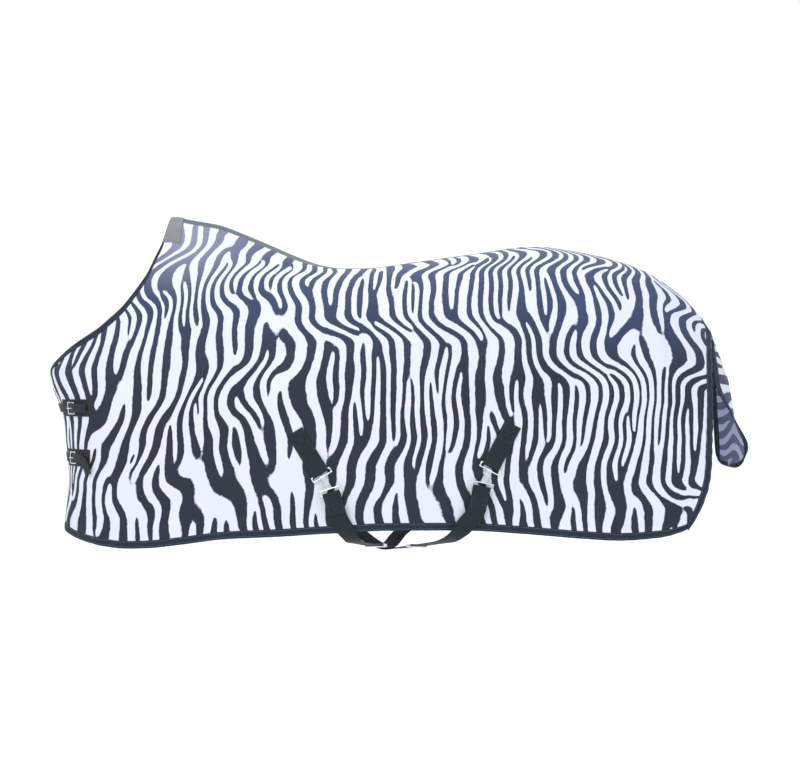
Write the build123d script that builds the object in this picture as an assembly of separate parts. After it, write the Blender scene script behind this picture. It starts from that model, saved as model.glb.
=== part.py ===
from build123d import *
import os
import math
import numpy as np

os.makedirs("parts", exist_ok=True)

# ---------------------------------------------------------------------------
# Fly sheet for a horse (mesh summer rug), about 1.9 m long.
# Frame: +Z up, the horse faces -X, its left (near) side is -Y.
# Origin: the withers, at the front end of the back seam.
# ---------------------------------------------------------------------------

# driving dimensions (mm)
MESH_T = 2.0            # mesh panel thickness in the solid model
BIND_T = 3.4            # edge binding, folded round the panel
BIND_W = 20.0           # width of hem and rear binding
NECK_W = 24.0           # width of the neck binding
TAPE_W = 30.0           # back seam tape
WEB_W = 48.0            # surcingle webbing width
WEB_T = 2.2             # webbing thickness
BILLET_W = 25.0         # chest strap width
WIRE_R = 2.0            # clip wire radius
BK_R = 1.6              # chest buckle wire radius
LAP = 52.0              # how far each chest flap passes the centre line
LAP_GAP = 7.0           # depth between the two flaps in the lap
FOLD_X = -110.0         # fold line where the chest flap swings open


# ---------------------------------------------------------------------------
# numerical helpers
# ---------------------------------------------------------------------------
def slopes(xs, F):
    h = np.diff(xs)
    hh = h.reshape((-1,) + (1,) * (F.ndim - 1))
    d = np.diff(F, axis=0) / hh
    m = np.zeros_like(F, dtype=float)
    a, b = d[:-1], d[1:]
    w1 = (2 * h[1:] + h[:-1]).reshape((-1,) + (1,) * (F.ndim - 1))
    w2 = (h[1:] + 2 * h[:-1]).reshape((-1,) + (1,) * (F.ndim - 1))
    same = (a * b) > 0
    den = np.where(same, w1 / np.where(same, a, 1) + w2 / np.where(same, b, 1), 1)
    m[1:-1] = np.where(same, (w1 + w2) / den, 0)
    m[0] = d[0]
    m[-1] = d[-1]
    return m


def curve(xs, ys):
    xs = np.asarray(xs, float)
    ys = np.asarray(ys, float)
    m = slopes(xs, ys)

    def f(x):
        x = np.asarray(x, float)
        k = np.clip(np.searchsorted(xs, x) - 1, 0, len(xs) - 2)
        h = xs[k + 1] - xs[k]
        t = (x - xs[k]) / h
        lo, hi = t < 0, t > 1
        tc = np.clip(t, 0, 1)
        r = ((1 + 2 * tc) * (1 - tc) ** 2 * ys[k] + tc * (1 - tc) ** 2 * h * m[k]
             + tc * tc * (3 - 2 * tc) * ys[k + 1] + tc * tc * (tc - 1) * h * m[k + 1])
        r = np.where(lo, ys[0] + m[0] * (x - xs[0]), r)
        return np.where(hi, ys[-1] + m[-1] * (x - xs[-1]), r)
    return f


def smooth(a, b, x):
    t = np.clip((np.asarray(x, float) - a) / (b - a), 0, 1)
    return t * t * (3 - 2 * t)


# ---------------------------------------------------------------------------
# the draped shape of the rug (left side; the right side is its mirror)
# ---------------------------------------------------------------------------
spine_z = curve([-60, -17, 0, 35, 64, 122, 180, 238, 296, 354, 412, 470, 528, 586, 644, 760, 876,
                 992, 1050, 1108, 1224, 1340, 1398, 1456, 1485, 1508, 1531],
                [4, 1, 0, -7, -12, -23, -44, -68, -93, -118, -138, -148, -149, -145, -137, -121,
                 -104, -88, -86, -93, -115, -152, -185, -228, -256, -284, -316])
hem_z = curve([-322, -292, -266, -220, -178, -120, -37, 48, 158, 321, 483, 644, 805, 966, 1128,
               1237, 1348, 1405, 1431],
              [-896, -903, -910, -919, -925, -929, -925, -915, -900, -890, -879, -872, -872,
               -881, -895, -902, -896, -883, -873])
# half width of the rug at a drop D below the back line, station by station
DROP = np.array([0, 10, 30, 65, 120, 200, 300, 430, 600, 850], float)
ST_X = np.array([-365, 0, 120, 260, 420, 600, 800, 1000, 1150, 1250, 1340, 1400, 1456, 1500,
                 1531], float)
ST_Y = np.array([
    [0, 13, 31, 53, 88, 122, 158, 190, 212, 224],
    [0, 14, 34, 58, 98, 137, 180, 220, 246, 261],
    [0, 17, 42, 74, 122, 170, 213, 246, 266, 275],
    [0, 26, 62, 107, 165, 216, 252, 276, 288, 290],
    [0, 46, 98, 152, 208, 255, 285, 300, 304, 302],
    [0, 62, 118, 175, 230, 272, 298, 309, 311, 306],
    [0, 64, 122, 180, 235, 275, 300, 310, 311, 306],
    [0, 64, 122, 180, 232, 272, 296, 305, 305, 299],
    [0, 62, 118, 174, 225, 264, 288, 297, 296, 290],
    [0, 60, 112, 164, 212, 250, 274, 286, 286, 280],
    [0, 56, 104, 150, 195, 232, 256, 270, 272, 266],
    [0, 50, 94, 136, 178, 214, 240, 256, 260, 254],
    [0, 44, 82, 120, 158, 196, 226, 242, 248, 244],
    [0, 38, 72, 108, 146, 182, 206, 224, 234, 232],
    [0, 34, 64, 98, 134, 168, 196, 216, 226, 226]], float)
QROOT = np.sqrt(DROP)


def width_at(x, z):
    """half width at x, z from the station table"""
    x = np.asarray(x, float)
    D = np.maximum(spine_z(np.maximum(x, 0.0)) - z, 0.0)
    q = np.sqrt(D)
    F = np.stack([curve(QROOT, row)(q) for row in ST_Y])
    m = slopes(ST_X, F)
    k = np.clip(np.searchsorted(ST_X, x) - 1, 0, len(ST_X) - 2)
    h = ST_X[k + 1] - ST_X[k]
    t = np.clip((x - ST_X[k]) / h, 0, 1.3)
    pick = lambda A, kk: np.take_along_axis(A, kk[None, ...], axis=0)[0]
    return ((1 + 2 * t) * (1 - t) ** 2 * pick(F, k) + t * (1 - t) ** 2 * h * pick(m, k)
            + t * t * (3 - 2 * t) * pick(F, k + 1) + t * t * (t - 1) * h * pick(m, k + 1))


# front profile of the chest (where the two sides meet), by height
front_x = curve([-930, -890, -818, -760, -702, -644, -586, -528, -499, -470, -447, -404, -371,
                 -325, -266, -174, -69, -10, 20],
                [-322, -322, -316, -310, -313, -319, -326, -343, -356, -362, -365, -351, -336,
                 -314, -269, -152, -60, -30, -26])
# neck cut, from the withers to the front
NECK = np.array([(-17, 0), (-21, -14), (-32, -69), (-45, -106), (-72, -174), (-102, -223),
                 (-134, -266), (-166, -297), (-200, -325), (-237, -347), (-277, -371),
                 (-322, -404), (-352, -429), (-365, -447)], float)
neck_s = np.concatenate([[0], np.cumsum(np.hypot(*np.diff(NECK, axis=0).T))])
NECK_LEN = float(neck_s[-1])
neck_x = curve(neck_s, NECK[:, 0])
neck_z = curve(neck_s, NECK[:, 1])
U_FRONT = -17 - NECK_LEN          # column where the flap reaches the centre line
U_LAP = U_FRONT - LAP
# rear edge
rear_x = curve([-873, -833, -762, -716, -634, -525, -442, -371, -330, -316, -60],
               [1431, 1457, 1485, 1494, 1499, 1506, 1512, 1521, 1529, 1531, 1531.5])


def u_of_neck(x):
    """column whose top is the neck point at this x"""
    s = np.linspace(0, NECK_LEN, 400)
    return -17 - float(np.interp(-x, -neck_x(s), s))


U_FOLD = u_of_neck(FOLD_X)
TH_FOLD = math.acos(FOLD_X / float(front_x(-929)))


def rug_point(u, D, side=-1, inset=0.0):
    """point at column u, drop D below the top edge; side -1 left, +1 right"""
    u = np.asarray(u, float)
    D = np.asarray(D, float)
    u, D = np.broadcast_arrays(u, D)
    s = np.clip(-17 - u, 0, NECK_LEN)
    over = np.maximum(U_FRONT - u, 0.0)
    is_neck = u < -17
    xt = np.where(is_neck, neck_x(s), u)
    zt = np.where(is_neck, neck_z(s), spine_z(np.maximum(u, -17))) - 0.06 * over
    # lower end of the column
    f = np.clip((u - U_FRONT) / (U_FOLD - U_FRONT), 0, 1)
    th_h = TH_FOLD * f
    xh_front = front_x(-900.0) * np.cos(th_h)
    g = smooth(0, 1, (u - U_FOLD) / (30 - U_FOLD))
    xh_mid = FOLD_X + (30 - FOLD_X) * ((u - U_FOLD) / (30 - U_FOLD))
    k = smooth(1150, 1531, xt)
    xh = np.where(u < U_FOLD, xh_front, np.where(u < 30, xh_mid, u - 100 * k))
    zh = hem_z(np.clip(xh, -322, 1440))
    H = zt - zh
    frac = D / H
    z = zt - D
    x_lin = xt + (xh - xt) * frac
    x_rear = xt + (rear_x(np.minimum(z, -60)) - 1531) * k
    x_lin = np.where(u > 30, x_rear, x_lin)
    fx = front_x(z)
    th_t = np.arccos(np.clip(xt / front_x(zt), -1, 1))
    th = th_t + (th_h - th_t) * frac
    w = smooth(-150, -255, xt)
    x = (1 - w) * x_lin + w * fx * np.cos(th)
    neg = over > 0
    th_over = -over / 235.0
    x = np.where(neg, fx * np.cos(th_over), x)
    c = np.clip(x / fx, -1, 1)
    sn = np.where(x < 0, np.sqrt(np.maximum(1 - c * c, 0)), 1.0)
    sn = np.where(w > 0.999, np.sin(th), sn)
    sn = np.where(neg, np.sin(th_over), sn)
    y = width_at(x, z) * sn
    # the far flap lies inside the near one round the front
    if inset:
        d = inset * (1 - smooth(60, 170, y))
        r = np.hypot(x - 0.25 * fx, y) + 1e-9
        x = x - d * (x - 0.25 * fx) / r
        y = y - d * y / r
    y = y + 1.2 * smooth(-40, 10, u)
    return np.stack([x, side * y, z + 0 * y], axis=-1)


def column_height(u):
    p0 = rug_point(u, 0.0)
    xh = rug_point(u, 700.0)
    lo, hi = 300.0, 1100.0
    # drop at which the column meets the hem line
    for _ in range(40):
        mid = 0.5 * (lo + hi)
        p = rug_point(u, mid)
        if p[2] > float(hem_z(min(max(p[0], -322), 1431))):
            lo = mid
        else:
            hi = mid
    return 0.5 * (lo + hi)


U_SAMPLES = np.linspace(U_LAP, 1531, 220)
height = curve(U_SAMPLES, [column_height(u) for u in U_SAMPLES])


# ---------------------------------------------------------------------------
# solids from grids: columns of points, lofted side by side
# ---------------------------------------------------------------------------
def normals(G):
    du = np.gradient(G, axis=0, edge_order=2)
    dv = np.gradient(G, axis=1, edge_order=2)
    n = np.cross(du, dv)
    return n / np.linalg.norm(n, axis=-1, keepdims=True)


def V(p):
    return Vector(float(p[0]), float(p[1]), float(p[2]))


def column_edge(a):
    if len(a) == 2:
        return Edge.make_line(V(a[0]), V(a[-1]))
    t = np.cumsum(np.concatenate([[0], np.linalg.norm(np.diff(a, axis=0), axis=1)]))
    return Edge.make_spline([V(p) for p in a], parameters=[float(q) for q in t / t[-1]])


def loft_grid(A, B):
    """closed solid between two grids: ruled faces column to column, sewn"""
    ea, eb = [column_edge(a) for a in A], [column_edge(b) for b in B]
    l0 = [Edge.make_line(V(a[0]), V(b[0])) for a, b in zip(A, B)]
    l1 = [Edge.make_line(V(a[-1]), V(b[-1])) for a, b in zip(A, B)]
    ruled = Face.make_surface_from_curves
    faces = [ruled(ea[0], eb[0]), ruled(ea[-1], eb[-1])]
    for row in (ea, eb, l0, l1):
        for p, q in zip(row[:-1], row[1:]):
            faces.append(ruled(p, q))
    solid = Solid(Shell(faces))
    assert solid.is_valid
    return solid


def outward(G, side, lo, hi):
    """sheet between offsets lo..hi measured outward"""
    n = normals(G)
    if np.sum(n[..., 1] * side) < 0:
        n = -n
    return loft_grid(G + n * hi, G + n * lo)


NODES = {}


def put(name, shape):
    NODES.setdefault(name, []).append(shape)


# ---------------------------------------------------------------------------
# mesh panels
# ---------------------------------------------------------------------------
def panel_grid(u_list, n_d, side, inset=0.0, top=0.0):
    rows = []
    for u in u_list:
        H = float(height(u))
        p = 1.15 + 0.85 * float(smooth(-60, 90, u))
        v = np.linspace(0, 1, n_d)
        D = top + (H - top) * v ** p
        rows.append(rug_point(np.full(n_d, u), D, side, inset))
    return np.array(rows)


u_body = np.concatenate([np.linspace(U_FOLD + 0.6, -20, 7), np.linspace(0, 1420, 24),
                         np.linspace(1445, 1530, 5)])
u_chest = np.linspace(U_LAP, U_FOLD - 0.6, 16)
for side, name in ((-1, "left"), (1, "right")):
    put(name + "_side_panel", outward(panel_grid(u_body, 15, side), side, -MESH_T, 0))
    inset = 0.0 if side < 0 else LAP_GAP
    put(name + "_chest_panel", outward(panel_grid(u_chest, 12, side, inset), side, -MESH_T, 0))


# ---------------------------------------------------------------------------
# bindings: tape folded over the edges of the panels
# ---------------------------------------------------------------------------
PROUD = (BIND_T - MESH_T) / 2


def strip(G, side, front=False):
    """thin tape on a grid that is 3 points wide"""
    n = normals(G)
    if (np.sum(n[..., 0]) > 0) if front else (np.sum(n[..., 1] * side) < 0):
        n = -n
    A = (G + n * PROUD)[:, [0, 2]]
    B = (G - n * (MESH_T + PROUD))[:, [0, 2]]
    return loft_grid(A, B)


def edge_grid(u_list, d_of_u, side, inset=0.0):
    return np.array([rug_point(np.full(3, u), np.array(d_of_u(float(u))), side, inset)
                     for u in u_list])


hem_d = lambda u: [float(height(u)) - BIND_W, float(height(u)) - BIND_W / 2,
                   float(height(u)) + 1.2]
neck_edge = rug_point(np.linspace(U_LAP, -17, 260), 0.0)


def neck_drop(u, w):
    """drop along column u at which it is w away from the neck edge"""
    D = np.linspace(0, 150, 90)
    P = rug_point(np.full(90, u), D)
    far = np.array([np.min(np.linalg.norm(neck_edge - p, axis=1)) for p in P])
    return float(np.interp(w, np.maximum.accumulate(far), D))


neck_d = lambda u: [-1.2, neck_drop(u, NECK_W / 2), neck_drop(u, NECK_W)]
flap_neck_d = lambda u: [-1.2, NECK_W / 2, NECK_W]
for side, name in ((-1, "left"), (1, "right")):
    inset = 0.0 if side < 0 else LAP_GAP
    put(name + "_hem_binding", strip(edge_grid(
        np.concatenate([np.linspace(U_FOLD + 0.6, -20, 5), np.linspace(10, 1505, 26)]),
        hem_d, side), side))
    put(name + "_neck_binding", strip(edge_grid(
        np.linspace(U_FOLD + 0.6, -30, 12), neck_d, side), side))
    H_end = float(height(1529))
    rows = []
    for f in np.linspace(0.03, 1, 22):
        D = H_end * f ** 1.7
        rows.append(rug_point(np.array([1510.0, 1520.5, 1531.2]), np.full(3, D), side))
    put(name + "_rear_binding", strip(np.array(rows), side))
    put(name + "_flap_neck_binding", strip(edge_grid(
        np.linspace(U_LAP + BIND_W + 0.2, U_FOLD - 0.6, 16), flap_neck_d, side, inset), side))
    put(name + "_flap_hem_binding", strip(edge_grid(
        np.linspace(U_LAP + BIND_W + 0.2, U_FOLD - 0.6, 14), hem_d, side, inset), side))
    rows = []
    Hf = float(height(U_LAP + 10))
    for D in np.linspace(-1.2, Hf + 1.2, 16):
        rows.append(rug_point(U_LAP + np.array([-1.2, BIND_W / 2, BIND_W]),
                              np.full(3, D), side, inset))
    put(name + "_flap_front_binding", strip(np.array(rows), side, True))


# ---------------------------------------------------------------------------
# back seam tape and withers patch, both astride the ridge of the back
# ---------------------------------------------------------------------------
def surf(x, z):
    x = np.asarray(x, float)
    z = np.asarray(z, float)
    sn = np.sqrt(np.clip(1 - (np.minimum(x, 0) / front_x(z)) ** 2, 0, 1))
    return width_at(x, z) * sn + 1.2 * smooth(-40, 10, x)


def ridge_section(x, half, n=4):
    """points from the left side over the ridge to the right, by arc length"""
    D = np.linspace(0, 1, 60) ** 2 * max(half, 30) * 1.1
    z = float(spine_z(x)) - D
    y = surf(np.full(60, x), z)
    s = np.concatenate([[0], np.cumsum(np.hypot(np.diff(y), np.diff(D)))])
    k = np.linspace(0, half, n)
    yy, zz = np.interp(k, s, y), np.interp(k, s, z)
    yy[0] = 0.0
    left = [(x, -a, b) for a, b in zip(yy[::-1], zz[::-1])]
    right = [(x, a, b) for a, b in zip(yy[1:], zz[1:])]
    return np.array(left + right)


def on_ridge(G, lo, hi):
    n = normals(G)
    if np.sum(n[..., 2]) < 0:
        n = -n
    return loft_grid(G + n * hi, G + n * lo)


xs = np.concatenate([np.linspace(22, 1440, 30), np.linspace(1462, 1524, 5)])
put("spine_tape", on_ridge(np.array([ridge_section(x, TAPE_W / 2) for x in xs]), 0.2, 2.0))

PATCH_DROP = 78.0
neck_zs = np.linspace(0, NECK_LEN, 200)
rows = []
for a in np.linspace(0, 1, 5):
    q = np.linspace(1, 0, 9)
    z = -PATCH_DROP * q ** 1.6
    xn = np.interp(-z, -neck_z(neck_zs), neck_x(neck_zs))
    x = xn + (18.0 - xn) * a
    z = z + spine_z(np.maximum(x, 0))
    y = surf(x, z)
    y[-1] = 0.0
    left = np.stack([x, -y, z], axis=-1)
    right = np.stack([x, y, z], axis=-1)[::-1][1:]
    rows.append(np.concatenate([left, right]))
put("withers_patch", on_ridge(np.array(rows), 0.9, 2.7))

# ---------------------------------------------------------------------------
# tail flap, sewn on at the tail head
# ---------------------------------------------------------------------------
FLAP = np.array([
    # near edge, centre, far edge
    [(1530, -85, -349), (1537, 0, -323), (1530, 85, -349)],
    [(1527, -104, -392), (1560, 0, -383), (1540, 104, -392)],
    [(1530, -113, -470), (1596, 0, -484), (1572, 113, -470)],
    [(1577, -116, -565), (1609, 0, -580), (1579, 114, -580)],
    [(1622, -113, -645), (1612, 0, -668), (1584, 113, -668)],
    [(1628, -104, -668), (1604, 0, -722), (1587, 104, -706)]], float)
flap_t = np.linspace(0, 1, 6)
flap_c = [[curve(flap_t, FLAP[:, k, a]) for a in range(3)] for k in range(3)]


def flap_point(w, t):
    near, mid, far = [np.array([float(f(t)) for f in flap_c[k]]) for k in range(3)]
    a = near if w < 0 else far
    e = abs(w)
    lin = mid + (a - mid) * e
    bow = mid + (a - mid) * e ** 2
    p = lin.copy()
    p[0] = bow[0]
    p[2] = bow[2]
    return p


def flap_solid(ws, ts, lo, hi):
    G = np.array([[flap_point(w, t) for t in ts] for w in ws])
    n = normals(G)
    if np.sum(n[..., 0]) < 0:
        n = -n
    return loft_grid(G + n * hi, G + n * lo)


put("tail_flap", flap_solid(np.linspace(-1, 1, 11), np.linspace(0, 1, 10), -MESH_T, 0))
for ws in (np.linspace(-1.01, -0.85, 3), np.linspace(0.85, 1.01, 3)):
    put("tail_flap_binding", flap_solid(ws, np.linspace(0.02, 1.004, 10), -MESH_T - PROUD, PROUD))
put("tail_flap_binding", flap_solid(np.linspace(-0.848, 0.848, 9), np.linspace(0.945, 1.004, 3),
                                    -MESH_T - PROUD, PROUD))


# ---------------------------------------------------------------------------
# small solids in a local frame
# ---------------------------------------------------------------------------
def frame_at(o, ex, ez):
    return Plane(origin=V(o), x_dir=V(ex), z_dir=V(ez)).location


def rod(r, a, b):
    """round bar with round ends from a to b"""
    a, b = np.array(a, float), np.array(b, float)
    d = b - a
    L = float(np.linalg.norm(d))
    pl = Plane(origin=V((a + b) / 2), z_dir=V(d / L))
    return pl.location * Cylinder(r, L) + Pos(*map(float, a)) * Sphere(r) \
        + Pos(*map(float, b)) * Sphere(r)


def web_loop(width, r, t, L1, L2, slot=0.0):
    """webbing turned round a bar along X at the origin, its doubled end towards +Z"""
    face = lambda pts: extrude(make_face(Plane.YZ * Polyline(*pts, close=True)),
                               amount=width / 2, both=True)
    ring = Rot(0, 90, 0) * (Cylinder(r + t, width) - Cylinder(r, width + 1))
    ring = ring & Pos(0, 0, -(r + t)) * Box(width + 2, 4 * (r + t), 2 * (r + t))
    body = ring + face([(-(r + t), 0), (-r, 0), (0, L1), (-t, L1)])
    body = body + face([(r + t, 0), (r, 0), (0, L1), (t, L1)])
    body = body + Pos(0, 0, (L1 + L2) / 2) * Box(width, 2 * t, L2 - L1)
    if slot:
        body = body - Pos(0, 0, 0) * Box(slot, 4 * (r + t), 20)
    return body


def whole(shape):
    """the single solid of a fused shape"""
    ss = shape.solids()
    assert len(ss) == 1, len(ss)
    return ss[0]


# ---------------------------------------------------------------------------
# belly surcingles: sewn upper straps, wire loops, hooks, strap ends
# ---------------------------------------------------------------------------
BAR_GAP = 12.0          # crossbar to the bar inside the upper strap
NECK_DROP = 37.0        # crossbar to the hook frame's upper bar
LOW_GAP = 13.0          # hook frame's upper bar to the bar inside the strap end
END_LEN = 60.0          # strap end that rides on the hook
HALF = WEB_W / 2
CLIPS = {}


def unit(v):
    v = np.array(v, float)
    return v / np.linalg.norm(v)


def clip_set(name, top, bar, low_angle):
    """top, bar: x, z of the upper strap's top edge centre and of the crossbar centre"""
    yb = -(float(surf(bar[0], bar[1])) + 8.5)
    yt = -(float(surf(top[0], top[1])) + 2.8)
    C = np.array([bar[0], yb, bar[1]])
    T = np.array([top[0], yt, top[1]])
    up = unit(T - C)
    flat = unit([-up[2], 0, up[0]]) * -1.0
    if flat[0] < 0:
        flat = -flat
    mid = (T + C) / 2
    dy = float(surf(mid[0] + 20 * flat[0], mid[2] + 20 * flat[2])
               - surf(mid[0] - 20 * flat[0], mid[2] - 20 * flat[2])) / 40
    ex = np.array([flat[0], -dy, flat[2]])
    ex = unit(ex - up * np.dot(ex, up))
    loc = frame_at(C, ex, up)
    # upper strap, sewn to the panel
    L = float(np.linalg.norm(T - C))
    loop = Pos(0, 0, BAR_GAP) * web_loop(WEB_W, WIRE_R + 0.3, WEB_T, 26, L - BAR_GAP)
    put(name + "_anchor_strap", loc * whole(loop))
    # wire loop
    h = HALF + 4.2
    wire = rod(WIRE_R, (-h, 0, 0), (h, 0, 0)) + rod(WIRE_R, (-h, 0, BAR_GAP), (h, 0, BAR_GAP))
    wire = wire + rod(WIRE_R, (-h, 0, 0), (-h, 0, BAR_GAP)) + rod(WIRE_R, (h, 0, 0), (h, 0, BAR_GAP))
    put(name + "_wire_loop", loc * whole(wire))
    # hook: curled round the crossbar, with a flat neck down to its own frame
    ri, ro = WIRE_R + 0.45, WIRE_R + 2.9
    curl = Rot(0, 90, 0) * (Cylinder(ro, 14) - Cylinder(ri, 15))
    curl = curl & Pos(0, 0, 10) * Box(20, 20, 20)
    tip = Pos(0, (ri + ro) / 2, -1.7) * Box(14, ro - ri, 3.4)
    yn = -(ri + ro) / 2
    neck = Pos(0, yn, -NECK_DROP / 2) * Box(14, ro - ri, NECK_DROP)
    low = Pos(0, yn, -NECK_DROP) * Rot(0, low_angle, 0)
    hook = curl + tip + neck
    for a, b in (((-h, 0, 0), (h, 0, 0)), ((-h, 0, -LOW_GAP), (h, 0, -LOW_GAP)),
                 ((-h, 0, 0), (-h, 0, -LOW_GAP)), ((h, 0, 0), (h, 0, -LOW_GAP))):
        hook = hook + low * rod(WIRE_R, a, b)
    put(name + "_hook", loc * whole(hook))
    end = Pos(0, 0, -LOW_GAP) * Rot(180, 0, 0) * web_loop(WEB_W, WIRE_R + 0.3, WEB_T, 26, END_LEN)
    put(name + "_strap_end", loc * low * whole(end))
    # where the strap end finishes, and its directions
    M = lambda p: np.array(tuple((loc * low * Pos(*p)).position))
    e = M((0, 0, -LOW_GAP - END_LEN))
    d = unit(M((0, 0, -LOW_GAP - END_LEN - 10)) - e)
    w = unit(M((10, 0, -LOW_GAP - END_LEN)) - e)
    CLIPS[name] = dict(C=C, axis=ex, up=up, end=e, down=d, wide=w)
    print(name, "crossbar", C.round(2), "axis", ex.round(5), "strap end", e.round(1),
          "down", d.round(3))


clip_set("front", (361.4, -608.8), (437.3, -729.5), 15.0)
clip_set("rear", (946.2, -588.8), (881.5, -711.4), -15.8)


def ribbon(P, N, width, thick, T=None):
    """webbing along points P with outward normals N"""
    P, N = np.array(P, float), np.array(N, float)
    if T is None:
        T = np.gradient(P, axis=0)
    T = T / np.linalg.norm(T, axis=1, keepdims=True)
    N = N - T * np.sum(N * T, axis=1, keepdims=True)
    N = N / np.linalg.norm(N, axis=1, keepdims=True)
    W = np.cross(T, N)
    A = np.stack([P + N * thick / 2 - W * width / 2, P + N * thick / 2 + W * width / 2], axis=1)
    B = np.stack([P - N * thick / 2 - W * width / 2, P - N * thick / 2 + W * width / 2], axis=1)
    return loft_grid(A, B), P, T, N, W


def blend_path(ctrl, norm, run, sub=3, t0=None):
    """smooth path through the points, kept straight between run and run + 1"""
    ctrl, norm = np.array(ctrl, float), np.array(norm, float)
    n = len(ctrl)
    tan = np.zeros_like(ctrl)
    for i in range(1, n - 1):
        a, b = ctrl[i] - ctrl[i - 1], ctrl[i + 1] - ctrl[i]
        la, lb = np.linalg.norm(a), np.linalg.norm(b)
        tan[i] = unit(a / la * lb + b / lb * la)
    tan[0] = unit(ctrl[1] - ctrl[0]) if t0 is None else t0
    tan[-1] = unit(ctrl[-1] - ctrl[-2])
    d = unit(ctrl[run + 1] - ctrl[run])
    tan[run] = tan[run + 1] = d
    norm[run + 1] = norm[run]
    P, N, T = [], [], []
    for i in range(n - 1):
        L = np.linalg.norm(ctrl[i + 1] - ctrl[i])
        for t in ([0.0] if i == run else np.arange(sub) / sub):
            h00, h10 = (1 + 2 * t) * (1 - t) ** 2, t * (1 - t) ** 2
            h01, h11 = t * t * (3 - 2 * t), t * t * (t - 1)
            P.append(h00 * ctrl[i] + h10 * L * tan[i] + h01 * ctrl[i + 1] + h11 * L * tan[i + 1])
            dd = ((6 * t * t - 6 * t) * ctrl[i] + (3 * t * t - 4 * t + 1) * L * tan[i]
                  + (6 * t - 6 * t * t) * ctrl[i + 1] + (3 * t * t - 2 * t) * L * tan[i + 1])
            T.append(unit(dd))
            N.append(norm[i] * (1 - smooth(0, 1, t)) + norm[i + 1] * smooth(0, 1, t))
    P.append(ctrl[-1])
    T.append(tan[-1])
    N.append(norm[-1])
    return np.array(P), np.array(N), np.array(T)


def side_y(x, z, off):
    return float(surf(x, z)) + off


SLIDE_AT = {}


def belly_strap(name, near, run_a, run_b, far, slide_s):
    c = CLIPS[name]
    start = c["end"] + c["down"] * 0.6
    out0 = np.cross(c["wide"], c["down"])
    if out0[1] > 0:
        out0 = -out0
    ctrl = [start] + near + [run_a, run_b] + far
    down = (0, -0.18, -1)
    norm = [out0]
    for p in near:
        k = float(smooth(-850, -905, p[2]))
        norm.append((0, -1 + 0.82 * k, -k))
    norm += [down, down]
    for p in far:
        if p[1] < 230:
            norm.append((0, 0.1, -1))
        elif p[2] < -885:
            norm.append((0, 0.65, -0.75))
        else:
            norm.append((0, 1, -0.05))
    run = 1 + len(near)
    P, N, T = blend_path(ctrl, norm, run, t0=c["down"])
    solid, P, T, N, W = ribbon(P, N, WEB_W, WEB_T, T)
    put(name + "_belly_strap", solid)
    a, b = np.array(run_a, float), np.array(run_b, float)
    d = unit(b - a)
    i = int(np.argmin(np.linalg.norm(P - a, axis=1)))
    n, w = N[i], W[i]
    o = a + d * slide_s
    loc = frame_at(o, w, n)
    # slide adjuster: two outer bars on one face of the strap, the middle bar on the other
    xr = HALF + 2.2
    zb = WEB_T / 2 + 0.4 + 1.6
    body = rod(1.6, (-xr, 11, zb), (xr, 11, zb)) + rod(1.6, (-xr, -11, zb), (xr, -11, zb))
    body = body + rod(1.6, (-xr, 0, -zb), (xr, 0, -zb))
    for sx in (-xr, xr):
        body = body + Pos(sx, 0, 0) * Box(3, 25.2, 2 * zb + 2.4)
    put(name + "_slide", loc * whole(body))
    SLIDE_AT[name] = (o, d)
    print(name, "slide at", o.round(2), "along", d.round(5), "run", round(float(np.linalg.norm(b - a)), 1))


ys = lambda x, z, o: -(side_y(x, z, o))
belly_strap("front",
            [(497, ys(497, -866, 9.5), -868), (512, -300, -895)],
            (532, -240, -914), (599, -62, -946),
            [(611, -5, -949.5), (620, 60, -948), (640, 160, -934), (668, 240, -918),
             (700, 296, -902), (735, side_y(735, -862, 8), -868), (790, side_y(790, -790, 3), -785),
             (860, side_y(860, -690, 3), -690), (905, side_y(905, -628, 3), -628)], 128)
belly_strap("rear",
            [(822, ys(822, -852, 10.5), -852), (796, -308, -885)],
            (745, -240, -914), (654, -66, -948),
            [(616, -12, -957), (590, 45, -957), (560, 110, -950), (525, 190, -934),
             (492, 255, -918), (465, 296, -902), (440, side_y(440, -862, 10), -868),
             (405, side_y(405, -780, 4.5), -780), (375, side_y(375, -690, 4.5), -690),
             (352, side_y(352, -625, 4), -625)], 120)


# ---------------------------------------------------------------------------
# chest closures: two straps on the right flap, two buckles on the left flap
# ---------------------------------------------------------------------------
def chest_point(phi, z, off=0.0):
    """point on the chest; phi > 0 on the left side, 0 at the centre line"""
    def base(p, zz):
        x = float(front_x(zz)) * math.cos(p)
        y = -float(width_at(x, zz)) * math.sin(p)
        return np.array([x, y, zz])
    p = base(phi, z)
    tp = base(phi + 1e-3, z) - base(phi - 1e-3, z)
    tz = base(phi, z + 0.5) - base(phi, z - 0.5)
    n = unit(np.cross(tz, tp))
    if n[0] > 0 and abs(phi) < 1.2:
        n = -n
    return p + n * off, unit(tp), n


BK_RISE = 8.0           # heel bar above the flap
BK_LEN = 26.0           # heel bar to front bar
PRONG_R = 1.3


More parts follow.
